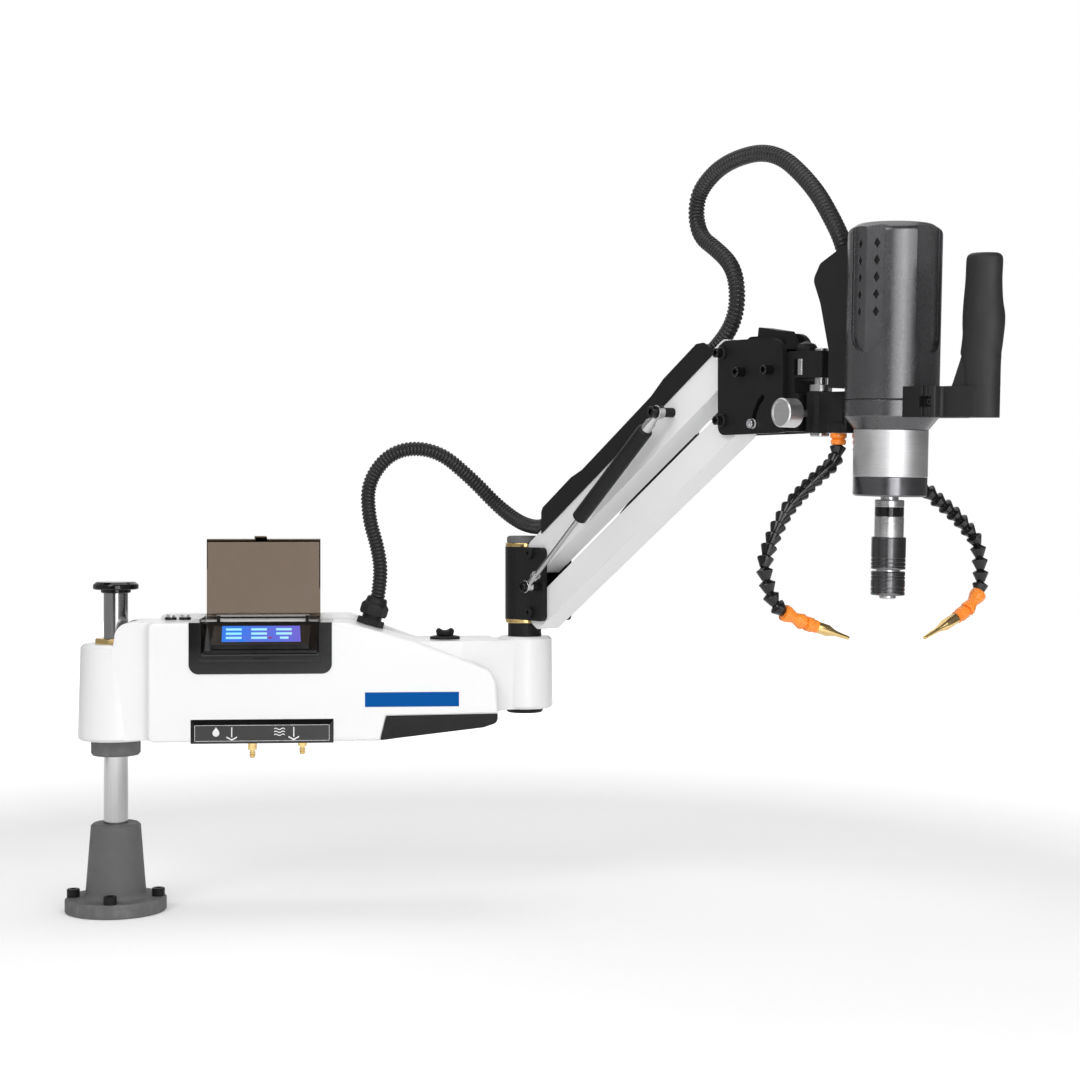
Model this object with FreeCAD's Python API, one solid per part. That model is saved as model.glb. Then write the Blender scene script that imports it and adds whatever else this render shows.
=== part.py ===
"""Arm tapping machine on a bench column, built as separate pieces.

Millimetres, +Z up. The origin is on the column axis at the underside of the base flange.
The main arm points along +X and its display side faces -Y. The forearm and the head are
drawn in a frame of their own: x outwards from the elbow, y to the far side, z up.
"""
import FreeCAD, Part
import math
import os

V = FreeCAD.Vector

# ---------------------------------------------------------------- driving dimensions
# base and column
FLANGE_R = 62.5
FLANGE_T = 17.0
CONE_FOOT_R = 37.7
CONE_TOP_R = 30.5
CONE_TOP_Z = 109.0
BOLT_CIRCLE_R = 52.5
BOLT_HOLE_R = 5.5
BASE_TURN = 0.0              # bolt pattern turned against the main arm, degrees
COLUMN_R = 15.0
COLUMN_FOOT_Z = 6.0
COLUMN_TOP_Z = 401.0
COLLAR_R = 30.5
COLLAR_Z = (194.0, 213.6)
SLIDE_GAP = 0.05             # radial running clearance on shafts and pins

# main arm
REACH = 512.0                # column axis to elbow axis
HUB_Z = (213.9, 333.0)
HUB_R = (47.1, 43.2)
ARM_HALF = 62.0              # half the depth over both covers
CAST_HALF = 44.0             # half the depth of the casting between them
ARM_BOTTOM = 215.4
ARM_TOP = 361.0
REAR_TOP = 367.5
REAR_STEP_Y = 28.0
SLOPE_X = (291.0, 375.0)     # the top slopes down between these stations
FRONT_TOP = 336.5
COVER_LEFT = 46.3
COVER_RIGHT = 475.0
COVER_WALL = 3.0
ELBOW_HUB_Z = (249.5, 340.0)
ELBOW_HUB_R = (36.0, 34.5)

# display console, in the notch of the front cover
CONSOLE_X = (109.3, 256.3)
CHEEK = 1.5
CONSOLE_FRONT = -65.5
CONSOLE_REAR = 14.0
CONSOLE_TOP = 366.5
LEDGE_Z = 321.0
BEZEL_X = (96.0, 270.3)
BEZEL_BOTTOM = 298.7
BEZEL_T = 0.8
GLASS_X = (122.0, 242.0)
LID_PIN = (12.0, 363.8)      # y, z of the lid hinge
LID_X = (111.4, 253.8)
LID_LENGTH = 99.2
LID_T = 2.4
BUTTON_X = {"start_button": 66.0, "stop_button": 84.0}
BUTTON_Y = 16.0
BUTTON_WELL_R = 5.6

# elbow
POST_R = 21.25
POST_NECK_R = 16.0
POST_SHOULDER_Z = 356.6
SLEEVE_R = 24.6
SLEEVE_BORE_R = 18.0
SLEEVE_Z = (361.9, 453.0)
EAR_Y = (15.3, 22.0)
EAR_X = 71.0
CAP_Z = (457.9, 466.6)

# forearm parallelogram
FOREARM_YAW = -59.3
LIFT = 31.6
PIN_X = 44.5
PIN_Z = (372.1, 445.6)       # lower and upper link
LINK_LENGTH = 433.0
LINK_HALF_W = 15.0
LINK_PIN_R = 6.0
UPPER_Q = (-25.5, 17.4)      # underside and top of the upper link, from its pin line
LOWER_Q = (-21.5, 13.6)
LINK_WALL = 3.0

# gas springs
SPRING_Y = 35.0
SPRING_FOOT = (57.0, 405.0)  # x, z of the lower eye
SPRING_HEAD = (319.4, -2.2)  # along and across the upper link, from its elbow pin
TUBE_R = 9.2
TUBE_BORE_R = 8.2
ROD_R = 3.0

# head carrier and tilt
PLATE_Y = (15.3, 21.3)
PLATE_X = (404.5, 510.6)
PLATE_Z = (583.0, 686.0)
TILT_PIVOT = (500.0, 592.0)
SLOT_R = 36.6
SLOT_ANGLES = (178.8, 127.0)
SLOT_WIDTH = 6.5
LEAN = 1.75                  # the head leans outwards by this much at rest

# swivel head, drawn upright and then leaned about the tilt pivot
SWIVEL_X = 544.5
SWIVEL_PIN_R = 7.0
MOTOR_X = 648.5
MOTOR_R = 47.0
MOTOR_Z = (616.9, 785.5, 793.3)
GEARBOX_Z = (587.2, 599.7, 616.5)
BARREL_R = 37.2
BARREL_Z = (539.7, 587.0)
NOSE_Z = (520.3, 539.5)
POCKET_TURN = 8.0            # first shield-shaped pocket, degrees from the handle side
POCKET_HALF_W = 20.0
POCKET_FOOT_Z = 663.0
RIDGE_R = 45.9               # ridge down the middle of each pocket
FLOOR_EDGE = (38.8, 20.5)    # outer edge of a pocket's two flats: out and across
VENT_PITCH = 16.8
BRACKET_Z = (583.5, 626.0)
BRACKET_HALF = 11.0
BOSS_R = 15.0
MANIFOLD_TOP = 593.0
SWIVEL_KNOB = (538.2, 603.6)
COVER_HALF = 25.0            # cable cover on the back of the motor
HANDLE_Z = (599.0, 629.0)
HANDLE_X = 768.0
GRIP_Z = 657.0
HOSE_FEET = ((586.0, -12.5), (592.0, 12.5))
HOSE_PITCH = 12.8
CHUCK_SLEEVE_Z = (447.0, 479.5)
CHUCK_TOP_Z = 516.7
CHUCK_TIP_Z = 417.3
TAP_SHANK_R = 4.5
TAP_SHANK_DEPTH = 25.0

# cable conduits
CONDUIT_R = 9.25

SMALLEST_TURNED_ARC = 5.0    # smaller edge breaks on turned pieces are plain chamfers

nodes = {}


# ---------------------------------------------------------------- drawing helpers
def box(x, y, z):
    """Block between two x, two y and two z stations."""
    return Part.makeBox(x[1] - x[0], y[1] - y[0], z[1] - z[0], V(x[0], y[0], z[0]))


def rod(radius, start, end):
    """Round bar between two points."""
    start, end = V(*start), V(*end)
    return Part.makeCylinder(radius, (end - start).Length, start, end - start)


def rounded_wire(corners, to_point, smallest_arc=0.0):
    """Closed wire through (a, b, radius) corners, rounded, or broken straight when small."""
    count = len(corners)
    spans = []
    for i, (a, b, radius) in enumerate(corners):
        here = V(a, b, 0)
        before = V(corners[i - 1][0], corners[i - 1][1], 0) - here
        after = V(corners[(i + 1) % count][0], corners[(i + 1) % count][1], 0) - here
        before.normalize()
        after.normalize()
        half = before.getAngle(after) / 2
        middle = before + after
        if radius <= 0 or middle.Length < 1e-6:
            spans.append((here, None, here))
            continue
        middle.normalize()
        reach = radius / math.tan(half)
        if radius < smallest_arc:
            spans.append((here + before * reach, "straight", here + after * reach))
            continue
        spans.append((here + before * reach,
                      here + middle * (radius / math.sin(half) - radius),
                      here + after * reach))
    edges = []
    for i, (first, mid, last) in enumerate(spans):
        if mid == "straight":
            edges.append(Part.makeLine(to_point(first), to_point(last)))
        elif mid is not None:
            edges.append(Part.Arc(to_point(first), to_point(mid), to_point(last)).toShape())
        following = spans[(i + 1) % count][0]
        if (following - last).Length > 1e-6:
            edges.append(Part.makeLine(to_point(last), to_point(following)))
    return Part.Wire(Part.__sortEdges__(edges))


def side_slab(corners, y):
    """Outline drawn in x and z, filled between two y stations."""
    wire = rounded_wire(corners, lambda p: V(p.x, y[0], p.y))
    return Part.Face(wire).extrude(V(0, y[1] - y[0], 0))


def plan_slab(corners, z):
    """Outline drawn in x and y, filled between two z stations."""
    wire = rounded_wire(corners, lambda p: V(p.x, p.y, z[0]))
    return Part.Face(wire).extrude(V(0, 0, z[1] - z[0]))


def cross_slab(corners, x):
    """Outline drawn in y and z, filled between two x stations."""
    wire = rounded_wire(corners, lambda p: V(x[0], p.x, p.y))
    return Part.Face(wire).extrude(V(x[1] - x[0], 0, 0))


def turned(corners, at=(0, 0)):
    """Profile of (radius, z, rounding) corners turned about a vertical axis."""
    wire = rounded_wire(corners, lambda p: V(at[0] + p.x, at[1], p.y), SMALLEST_TURNED_ARC)
    return Part.Face(wire).revolve(V(at[0], at[1], 0), V(0, 0, 1), 360)


def ring(outer, inner, z, at=(0, 0)):
    """Plain ring about a vertical axis."""
    return turned([(inner, z[0], 0), (outer, z[0], 0), (outer, z[1], 0), (inner, z[1], 0)], at)


def hexagon(across_flats, z, at=(0, 0)):
    """Hexagonal block on a vertical axis."""
    corner = across_flats / math.sqrt(3)
    points = [(at[0] + corner * math.cos(math.radians(60 * k)),
               at[1] + corner * math.sin(math.radians(60 * k)), 0) for k in range(6)]
    return plan_slab(points, z)


def aimed(shape, at, direction):
    """Shape drawn on +Z at the origin, moved to a point and pointed along a direction."""
    moved = shape.copy()
    moved.Placement = FreeCAD.Placement(V(*at), FreeCAD.Rotation(V(0, 0, 1), V(*direction)))
    return moved


def socket_screw(size, length, at, direction):
    """Socket head cap screw: its head sits on the point, its shank runs against direction."""
    head_r = 0.8 * size
    body = turned([(0, -length, 0), (size / 2, -length, 0), (size / 2, 0, 0),
                   (head_r, 0, 0), (head_r, size, 0.08 * size), (0, size, 0)])
    body = body.cut(hexagon(0.8 * size, (0.5 * size, 1.1 * size)))
    return aimed(body, at, direction)


def joined(*shapes):
    """Shapes fused into one solid."""
    whole = shapes[0].fuse(list(shapes[1:])).removeSplitter()
    return whole.Solids[0] if len(whole.Solids) == 1 else whole


def keep(name, *shapes):
    """Store a node, made of one solid or of several separate ones."""
    solids = [solid for shape in shapes for solid in shape.Solids]
    nodes[name] = solids[0] if len(solids) == 1 else Part.makeCompound(solids)


def on_forearm(shape):
    """From the forearm's own frame to the machine's."""
    moved = shape.copy()
    moved.Placement = FreeCAD.Placement(
        V(REACH, 0, 0), FreeCAD.Rotation(V(0, 0, 1), FOREARM_YAW)).multiply(moved.Placement)
    return moved


def on_link(shape, pin_z):
    """From a link's frame, x along the link from its elbow pin, to the machine's."""
    moved = shape.copy()
    moved.Placement = FreeCAD.Placement(
        V(PIN_X, 0, pin_z), FreeCAD.Rotation(V(0, 1, 0), -LIFT)).multiply(moved.Placement)
    return on_forearm(moved)


def on_head(shape):
    """From the upright head to the machine's frame: leaned about the tilt pivot."""
    pivot = V(TILT_PIVOT[0], 0, TILT_PIVOT[1])
    moved = shape.copy()
    moved.Placement = FreeCAD.Placement(
        V(0, 0, 0), FreeCAD.Rotation(V(0, 1, 0), LEAN), pivot).multiply(moved.Placement)
    return on_forearm(moved)


def tube_along(points, radius, name):
    """Round tube of straight runs joined by tangent arcs, each as large as its runs allow."""
    points = [V(*p) for p in points]
    edges = []
    radii = []
    last = points[0]
    for before, here, after in zip(points, points[1:], points[2:]):
        to_before = before - here
        to_after = after - here
        run = min(to_before.Length, to_after.Length)
        to_before.normalize()
        to_after.normalize()
        half_inside = to_before.getAngle(to_after) / 2
        half_turn = math.pi / 2 - half_inside
        bend = 0.45 * run / math.tan(half_turn)
        radii.append(bend)
        start = here + to_before * (0.45 * run)
        end = here + to_after * (0.45 * run)
        middle = to_before + to_after
        middle.normalize()
        crown = here + middle * (bend / math.sin(half_inside) - bend)
        edges.append(Part.LineSegment(last, start).toShape())
        edges.append(Part.Arc(start, crown, end).toShape())
        last = end
    edges.append(Part.LineSegment(last, points[-1]).toShape())
    path = Part.Wire(edges)
    first_run = points[1] - points[0]
    section = Part.Wire(Part.makeCircle(radius, points[0], first_run))
    tube = path.makePipeShell([section], True, True)
    expected = math.pi * radius ** 2 * path.Length
    print(name, "length %.0f" % path.Length, "volume ratio %.4f" % (tube.Volume / expected),
          "bend radii", " ".join("%.0f" % r for r in radii))
    return tube


# ---------------------------------------------------------------- base and column
def around_base(k, radius):
    """Point on the base's bolt circle."""
    angle = math.radians(BASE_TURN + 90 * k)
    return radius * math.cos(angle), radius * math.sin(angle)


def base():
    flange = turned([(0, 0, 0), (FLANGE_R, 0, 1), (FLANGE_R, FLANGE_T, 2.5),
                     (CONE_FOOT_R, FLANGE_T, 8), (CONE_TOP_R, CONE_TOP_Z, 3),
                     (COLUMN_R, CONE_TOP_Z, 0), (COLUMN_R, COLUMN_FOOT_Z, 0),
                     (0, COLUMN_FOOT_Z, 0)])
    screws = []
    for k in range(4):
        x, y = around_base(k, BOLT_CIRCLE_R)
        flange = flange.cut(rod(BOLT_HOLE_R, (x, y, -1), (x, y, FLANGE_T + 1)))
        screws.append(socket_screw(10, FLANGE_T, (x, y, FLANGE_T), (0, 0, 1)))
    keep("base_flange", flange)
    keep("base_bolts", *screws)
    keep("column", turned([(0, COLUMN_FOOT_Z, 0), (COLUMN_R, COLUMN_FOOT_Z, 0),
                           (COLUMN_R, COLUMN_TOP_Z, 1), (0, COLUMN_TOP_Z, 0)]))
    keep("column_cap", turned([(COLUMN_R, 396, 0), (18.5, 396, 0.8), (18.5, 400.5, 0),
                               (28.2, 400.5, 1), (28.2, 406.5, 1.5), (23.7, 410, 1),
                               (0, 410, 0), (0, COLUMN_TOP_Z, 0), (COLUMN_R, COLUMN_TOP_Z, 0)]))


def height_collar():
    bore = COLUMN_R + SLIDE_GAP
    low, high = COLLAR_Z
    body = turned([(bore, low, 0), (COLLAR_R - 2, low, 0), (COLLAR_R, low + 3, 0), (COLLAR_R, high, 1),
                   (bore, high, 0)])
    body = body.cut(box((-1.5, 1.5), (0, COLLAR_R + 1), (low - 1, high + 1)))
    middle = (low + high) / 2
    screw_y = 22.5
    body = body.cut(rod(3.2, (-COLLAR_R, screw_y, middle), (COLLAR_R, screw_y, middle)))
    body = body.cut(rod(5.4, (9, screw_y, middle), (COLLAR_R, screw_y, middle)))
    keep("height_collar", body, socket_screw(6, 24, (9, screw_y, middle), (1, 0, 0)))


# ---------------------------------------------------------------- main arm
def arm_outline(left, right, top, front_top, bottom, nose):
    """Side outline of the arm, with the sloped top towards the elbow."""
    return [(left, bottom, nose), (330, bottom, 12), (right, ELBOW_HUB_Z[0], nose),
            (right, front_top, nose), (SLOPE_X[1], front_top, 18), (SLOPE_X[0], top, 24),
            (left, top, nose)]


def console_envelope():
    """Space that the display console takes out of the arm."""
    return cross_slab([(-ARM_HALF - 1, 313, 0), (CONSOLE_FRONT, 316, 1), (CONSOLE_FRONT, LEDGE_Z, 0.5),
                       (-ARM_HALF - 1, LEDGE_Z, 0), (-ARM_HALF - 1, CONSOLE_TOP, 1),
                       (CONSOLE_REAR, CONSOLE_TOP, 1), (CONSOLE_REAR, 345, 3)], CONSOLE_X)


def arm_casting():
    bore = 19.5
    hub = turned([(0, HUB_Z[0], 0), (HUB_R[0], HUB_Z[0], 3), (HUB_R[1], HUB_Z[1], 4),
                  (0, HUB_Z[1], 0)])
    beam = side_slab([(0, 216, 0), (330, 216, 12), (REACH - 26, ELBOW_HUB_Z[0], 4),
                      (REACH, ELBOW_HUB_Z[0], 0), (REACH, FRONT_TOP, 0),
                      (SLOPE_X[1], FRONT_TOP, 18), (SLOPE_X[0], ARM_TOP, 24),
                      (6, ARM_TOP, 19), (2, 330, 2), (0, 330, 0)], (-CAST_HALF, CAST_HALF))
    plan = plan_slab([(0, -CAST_HALF, 0), (430, -CAST_HALF, 20), (REACH - 14, -31, 6),
                      (REACH, -31, 0), (REACH, 31, 0), (REACH - 14, 31, 6),
                      (430, CAST_HALF, 20), (0, CAST_HALF, 0)], (200, 380))
    elbow_hub = turned([(0, ELBOW_HUB_Z[0], 0), (ELBOW_HUB_R[0], ELBOW_HUB_Z[0], 3),
                        (ELBOW_HUB_R[1], ELBOW_HUB_Z[1], 3), (0, ELBOW_HUB_Z[1], 0)], (REACH, 0))
    body = joined(beam.common(plan), hub, elbow_hub)
    body = body.cut(rod(bore, (0, 0, 200), (0, 0, 340)))
    body = body.cut(rod(26.2, (0, 0, HUB_Z[1]), (0, 0, 380)))
    body = body.cut(rod(POST_R, (REACH, 0, 240), (REACH, 0, 350)))
    body = body.cut(console_envelope())
    for x in BUTTON_X.values():
        body = body.cut(rod(BUTTON_WELL_R, (x, BUTTON_Y, ARM_TOP - 4), (x, BUTTON_Y, ARM_TOP + 1)))
    keep("arm_casting", body)
    column_bore = COLUMN_R + SLIDE_GAP
    keep("column_bushes",
         turned([(column_bore, 305, 0), (bore, 305, 0), (bore, HUB_Z[1], 0), (25.4, HUB_Z[1], 0),
                 (25.4, 339.6, 1), (column_bore, 339.6, 0)]),
         ring(bore, column_bore, (HUB_Z[0], 237)))


def arm_covers():
    nose = 7
    front = side_slab([(COVER_LEFT, ARM_BOTTOM, nose), (329.7, ARM_BOTTOM, 0),
                       (337.1, 245.5, 0), (COVER_RIGHT, 247.2, 1), (472.9, 287.8, 14),
                       (463.5, 302, 14), (378.4, 335, 34), (290, ARM_TOP, 30),
                       (COVER_LEFT, ARM_TOP, nose)], (-ARM_HALF, -CAST_HALF))
    rim = [edge for edge in front.Edges if abs(edge.BoundBox.YMax + ARM_HALF) < 1e-6
           and abs(edge.BoundBox.YMin + ARM_HALF) < 1e-6]
    front = front.makeFillet(3.5, rim)
    wall = COVER_WALL
    hollow = side_slab([(COVER_LEFT + wall, ARM_BOTTOM + wall, 4), (327.3, ARM_BOTTOM + wall, 0),
                        (334.7, 248.5, 0), (COVER_RIGHT - wall, 250.2, 1),
                        (469.9, 287, 11), (461, 299.5, 11), (377.2, 332.2, 34),
                        (289.6, ARM_TOP - wall, 30), (COVER_LEFT + wall, ARM_TOP - wall, 4)],
                       (-ARM_HALF + wall, -CAST_HALF + 1))
    front = front.cut(hollow).cut(console_envelope())
    keep("front_cover", max(front.Solids, key=lambda s: s.Volume))

    outer = side_slab(arm_outline(52, COVER_RIGHT, REAR_TOP, FRONT_TOP + 0.4, ARM_BOTTOM, nose),
                      (REAR_STEP_Y, ARM_HALF))
    rim = [edge for edge in outer.Edges if abs(edge.BoundBox.YMax - ARM_HALF) < 1e-6
           and abs(edge.BoundBox.YMin - ARM_HALF) < 1e-6]
    outer = outer.makeFillet(3.5, rim)
    inner = side_slab(arm_outline(52 + wall, COVER_RIGHT - wall, REAR_TOP - wall,
                                  FRONT_TOP + 0.4 - wall, ARM_BOTTOM + wall, 4),
                      (CAST_HALF, ARM_HALF - wall))
    rear = outer.cut(inner).cut(nodes["arm_casting"])
    rear = rear.cut(box((0, REACH), (REAR_STEP_Y - 1, CAST_HALF), (200, FRONT_TOP)))
    keep("rear_cover", max(rear.Solids, key=lambda s: s.Volume))

    face_y = -ARM_HALF + 0.4
    wedge = side_slab([(329.9, ARM_BOTTOM + 0.6, 1), (457, 230.6, 14), (474.6, 236.5, 8),
                       (474.6, 247, 0), (337.1, 245.3, 0)], (face_y, -CAST_HALF))
    # the underside draws in below a crease that runs to the elbow end
    facet = cross_slab([(face_y - 1, 200, 0), (face_y + 3, 200, 0), (face_y, 232, 0),
                        (face_y - 1, 232, 0)], (344, 480))
    facet.rotate(V(344, face_y, 232), V(0, 1, 0), -7)
    keep("nose_insert", wedge.cut(facet))


def display():
    envelope = console_envelope()
    inside_x = (CONSOLE_X[0] + CHEEK, CONSOLE_X[1] - CHEEK)
    cavity = cross_slab([(-70, LEDGE_Z, 0), (-61, LEDGE_Z, 0), (-58.5, 324, 0), (8.5, 356.5, 0),
                         (8.5, 358.5, 0), (20, 358.5, 0), (20, 380, 0), (-70, 380, 0)], inside_x)
    console = envelope.cut(cavity)
    notch = box((174, 193), (CONSOLE_FRONT - 1, -62), (317.5, LEDGE_Z + 1))
    console = console.cut(notch)
    pin_y, pin_z = LID_PIN
    for x0, x1 in ((124.4, 128.4), (235.2, 239.2)):
        lug = cross_slab([(pin_y - 2.9, 356, 0), (pin_y + 2, 356, 0), (pin_y + 2, 366.4, 1.9),
                          (pin_y - 2.9, 366.4, 2.4)], (x0, x1))
        console = console.fuse(lug)
    console = console.cut(rod(1.2, (120, pin_y, pin_z), (244, pin_y, pin_z)))

    frame = cross_slab([(-60, 323.4, 0), (-60, 327.2, 0.6), (5.5, 359, 0.6), (5.5, 355.2, 0)],
                       (113.6, 252))
    frame = frame.cut(cross_slab([(-70, LEDGE_Z, 0), (-58.5, 324, 0), (8.5, 356.5, 0), (8.5, 300, 0),
                                  (-70, 300, 0)], (100, 270)))
    glass = cross_slab([(-56.5, 325, 0), (-56.5, 334.6, 1), (4.6, 357.4, 1), (4.6, 350, 0)], GLASS_X)
    glass = glass.cut(cross_slab([(-70, 318.43, 0), (-58.5, 324, 0), (8.5, 356.5, 0), (8.5, 300, 0),
                                  (-70, 300, 0)], (100, 270)))
    keep("display_console", joined(console, frame.cut(glass)))
    keep("display_screen", glass)

    bezel = box(BEZEL_X, (-ARM_HALF - BEZEL_T, -ARM_HALF), (BEZEL_BOTTOM, ARM_TOP + BEZEL_T))
    low = [edge for edge in bezel.Edges if edge.BoundBox.YLength > 0.5 and edge.BoundBox.ZMax < 300]
    bezel = bezel.makeFillet(12, low)
    bezel = bezel.fuse(box(BEZEL_X, (-ARM_HALF, CONSOLE_REAR), (ARM_TOP, ARM_TOP + BEZEL_T)))
    keep("display_bezel", bezel.removeSplitter().cut(envelope))


def screen_lid():
    pin_y, pin_z = LID_PIN
    low, high = pin_z + 3.7, pin_z + LID_LENGTH
    lid = box(LID_X, (pin_y - LID_T / 2, pin_y + LID_T / 2), (low, high))
    tab = box((171, 186), (pin_y - LID_T / 2, pin_y + LID_T / 2), (high - 1, high + 3.6))
    lid = lid.fuse(tab)
    for x0, x1 in ((LID_X[0], 123.9), (239.7, LID_X[1])):
        lid = lid.fuse(box((x0, x1), (pin_y - LID_T / 2, pin_y + LID_T / 2), (pin_z, low + 1)))
        lid = lid.fuse(rod(2.6, (x0, pin_y, pin_z), (x1, pin_y, pin_z)))
    lid = lid.cut(rod(1.2 + SLIDE_GAP, (100, pin_y, pin_z), (270, pin_y, pin_z)))
    keep("screen_lid", lid.removeSplitter())
    keep("lid_hinge_pin", rod(1.2, (LID_X[0], pin_y, pin_z), (LID_X[1], pin_y, pin_z)))


def service_ports():
    outer = Part.makePolygon([V(x, -ARM_HALF, z) for x, z in
                              ((98.3, 213.6), (272.5, 213.6), (272.5, 243.2), (98.3, 243.2),
                               (98.3, 213.6))])
    face = Part.makePolygon([V(x, -ARM_HALF - 4, z) for x, z in
                             ((103.5, 217), (267.5, 217), (267.5, 236.6), (103.5, 236.6),
                              (103.5, 217))])
    keep("port_plate", Part.makeLoft([outer, face], True, True))
    ports = []
    for x, tip in ((172.8, 195.0), (233.9, 199.0)):
        at = (x, -52)
        nut = hexagon(9.5, (tip + 10, ARM_BOTTOM), at)
        barb = turned([(0, tip, 0), (2.6, tip, 0), (3.9, tip + 3.5, 0), (2.9, tip + 3.8, 0),
                       (4.1, tip + 7, 0), (3, tip + 7.3, 0), (3, tip + 11, 0), (0, tip + 11, 0)], at)
        ports.append(joined(nut, barb))
    keep("service_ports", *ports)


def arm_controls():
    deck = ARM_TOP
    collars = []
    for name, x in BUTTON_X.items():
        at = (x, BUTTON_Y)
        collars.append(ring(7.4, BUTTON_WELL_R, (deck, deck + 3.4), at))
        radius = BUTTON_WELL_R - 0.08
        keep(name, turned([(0, deck - 1, 0), (radius, deck - 1, 0), (radius, deck + 6.4, 1.4),
                           (0, deck + 7.6, 0)], at))
    keep("button_collars", *collars)
    at = (411, 0)
    deck = FRONT_TOP
    keep("lock_knob_base", turned([(0, deck, 0), (19, deck, 0.5), (19, deck + 3, 1),
                                   (14, deck + 4.2, 0.5), (0, deck + 4.2, 0)], at))
    low, high = deck + 4.5, deck + 13.4
    knob = turned([(0, low, 0), (10.5, low, 1), (12.7, high, 2.5), (0, high, 0)], at)
    for side in (-1, 1):
        saddle = rod(16, (at[0] + side * 3 - 20, side * 22.5, high + 8),
                     (at[0] + side * 3 + 20, side * 22.5, high + 8))
        knob = knob.cut(saddle)
    knob = knob.cut(rod(9, (at[0], -20, high + 6.2), (at[0], 20, high + 6.2)))
    keep("lock_knob", knob)


GLAND_X = 316.0
GLAND_Y = 10.0


def gland_axis():
    """Foot and direction of the cable gland, square to the sloped top."""
    drop = (FRONT_TOP - ARM_TOP) / (SLOPE_X[1] - SLOPE_X[0])
    foot = V(GLAND_X, GLAND_Y, ARM_TOP + (GLAND_X - SLOPE_X[0]) * drop)
    return foot, V(-drop, 0, 1)


def cable_gland():
    foot, direction = gland_axis()
    body = joined(hexagon(30, (0, 8)), turned([(0, 8, 0), (12.5, 8, 0), (12.5, 13, 0), (0, 13, 0)]))
    body = body.cut(rod(8.5, (0, 0, 3), (0, 0, 40)))
    nut = hexagon(31, (13, 29)).common(turned([(0, 13, 0), (16, 13, 0), (17.6, 16, 0),
                                               (17.6, 25, 0), (14.5, 29, 0), (0, 29, 0)]))
    dome = turned([(0, 28.5, 0), (14, 28.5, 0), (12.4, 36.4, 1.5), (0, 36.4, 0)])
    bore = rod(8.5, (0, 0, 10), (0, 0, 33)).fuse(rod(9.4, (0, 0, 33), (0, 0, 40)))
    keep("cable_gland", aimed(body, foot, direction),
         aimed(joined(nut, dome).cut(bore), foot, direction))


# ---------------------------------------------------------------- elbow
def elbow_post():
    keep("elbow_post", turned([(0, ELBOW_HUB_Z[0], 0), (POST_R, ELBOW_HUB_Z[0], 0),
                               (POST_R, POST_SHOULDER_Z, 0), (POST_NECK_R, POST_SHOULDER_Z, 0),
                               (POST_NECK_R, CAP_Z[0], 0), (0, CAP_Z[0], 0)], (REACH, 0)))
    keep("post_foot", turned([(0, 243.5, 0), (21.5, 243.5, 0), (23.2, 245.5, 0.5),
                              (23.2, ELBOW_HUB_Z[0], 0), (0, ELBOW_HUB_Z[0], 0)], (REACH, 0)))
    cap = turned([(0, CAP_Z[0], 0), (22.5, CAP_Z[0], 0), (22.5, CAP_Z[1] - 2, 1),
                  (20, CAP_Z[1], 0.5), (0, CAP_Z[1], 0)], (REACH, 0))
    keep("elbow_cap", cap.cut(aimed(hexagon(8, (-4, 1)), (REACH, 0, CAP_Z[1]), (0, 0, 1))))


def elbow_sleeve():
    low, high = SLEEVE_Z
    sleeve = ring(SLEEVE_R, SLEEVE_BORE_R, (low, high))
    for side in (-1, 1):
        ear = side_slab([(6, low, 0), (EAR_X, low, 7), (EAR_X, high, 7), (6, high, 0)],
                        sorted((side * EAR_Y[0], side * EAR_Y[1])))
        sleeve = sleeve.fuse(ear)
    sleeve = sleeve.cut(rod(SLEEVE_BORE_R, (0, 0, low - 1), (0, 0, high + 1)))
    for pin_z in PIN_Z:
        sleeve = sleeve.cut(rod(LINK_PIN_R, (PIN_X, -30, pin_z), (PIN_X, 30, pin_z)))
    sleeve = sleeve.cut(rod(4, (SPRING_FOOT[0], -30, SPRING_FOOT[1]),
                            (SPRING_FOOT[0], 30, SPRING_FOOT[1])))
    keep("elbow_sleeve", on_forearm(sleeve.removeSplitter()))
    neck = POST_NECK_R + SLIDE_GAP
    lower = turned([(neck, POST_SHOULDER_Z + 0.2, 0), (SLEEVE_R - 0.2, POST_SHOULDER_Z + 0.2, 0.8),
                    (SLEEVE_R - 0.2, low, 0), (SLEEVE_BORE_R, low, 0), (SLEEVE_BORE_R, low + 25, 0),
                    (neck, low + 25, 0)])
    upper = turned([(neck, high - 25, 0), (SLEEVE_BORE_R, high - 25, 0), (SLEEVE_BORE_R, high, 0),
                    (SLEEVE_R - 0.2, high, 0), (SLEEVE_R - 0.2, CAP_Z[0] - 0.2, 0.8),
                    (neck, CAP_Z[0] - 0.2, 0)])
    keep("elbow_bushes", on_forearm(lower), on_forearm(upper))
    studs = [link_pin(PIN_X, z, EAR_Y[1]) for z in PIN_Z]
    for side in (-1, 1):
        foot = (SPRING_FOOT[0], side * EAR_Y[0], SPRING_FOOT[1])
        tip = (SPRING_FOOT[0], side * (SPRING_Y + 7), SPRING_FOOT[1])
        head = (SPRING_FOOT[0], side * (SPRING_Y + 4.4), SPRING_FOOT[1])
        collar = (SPRING_FOOT[0], side * EAR_Y[1], SPRING_FOOT[1])
        shoulder = (SPRING_FOOT[0], side * (SPRING_Y - 4.4), SPRING_FOOT[1])
        studs.append(joined(rod(4, foot, tip), rod(6.8, head, tip), rod(6, collar, shoulder)))
    keep("elbow_pins", *[on_forearm(stud) for stud in studs])


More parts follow.
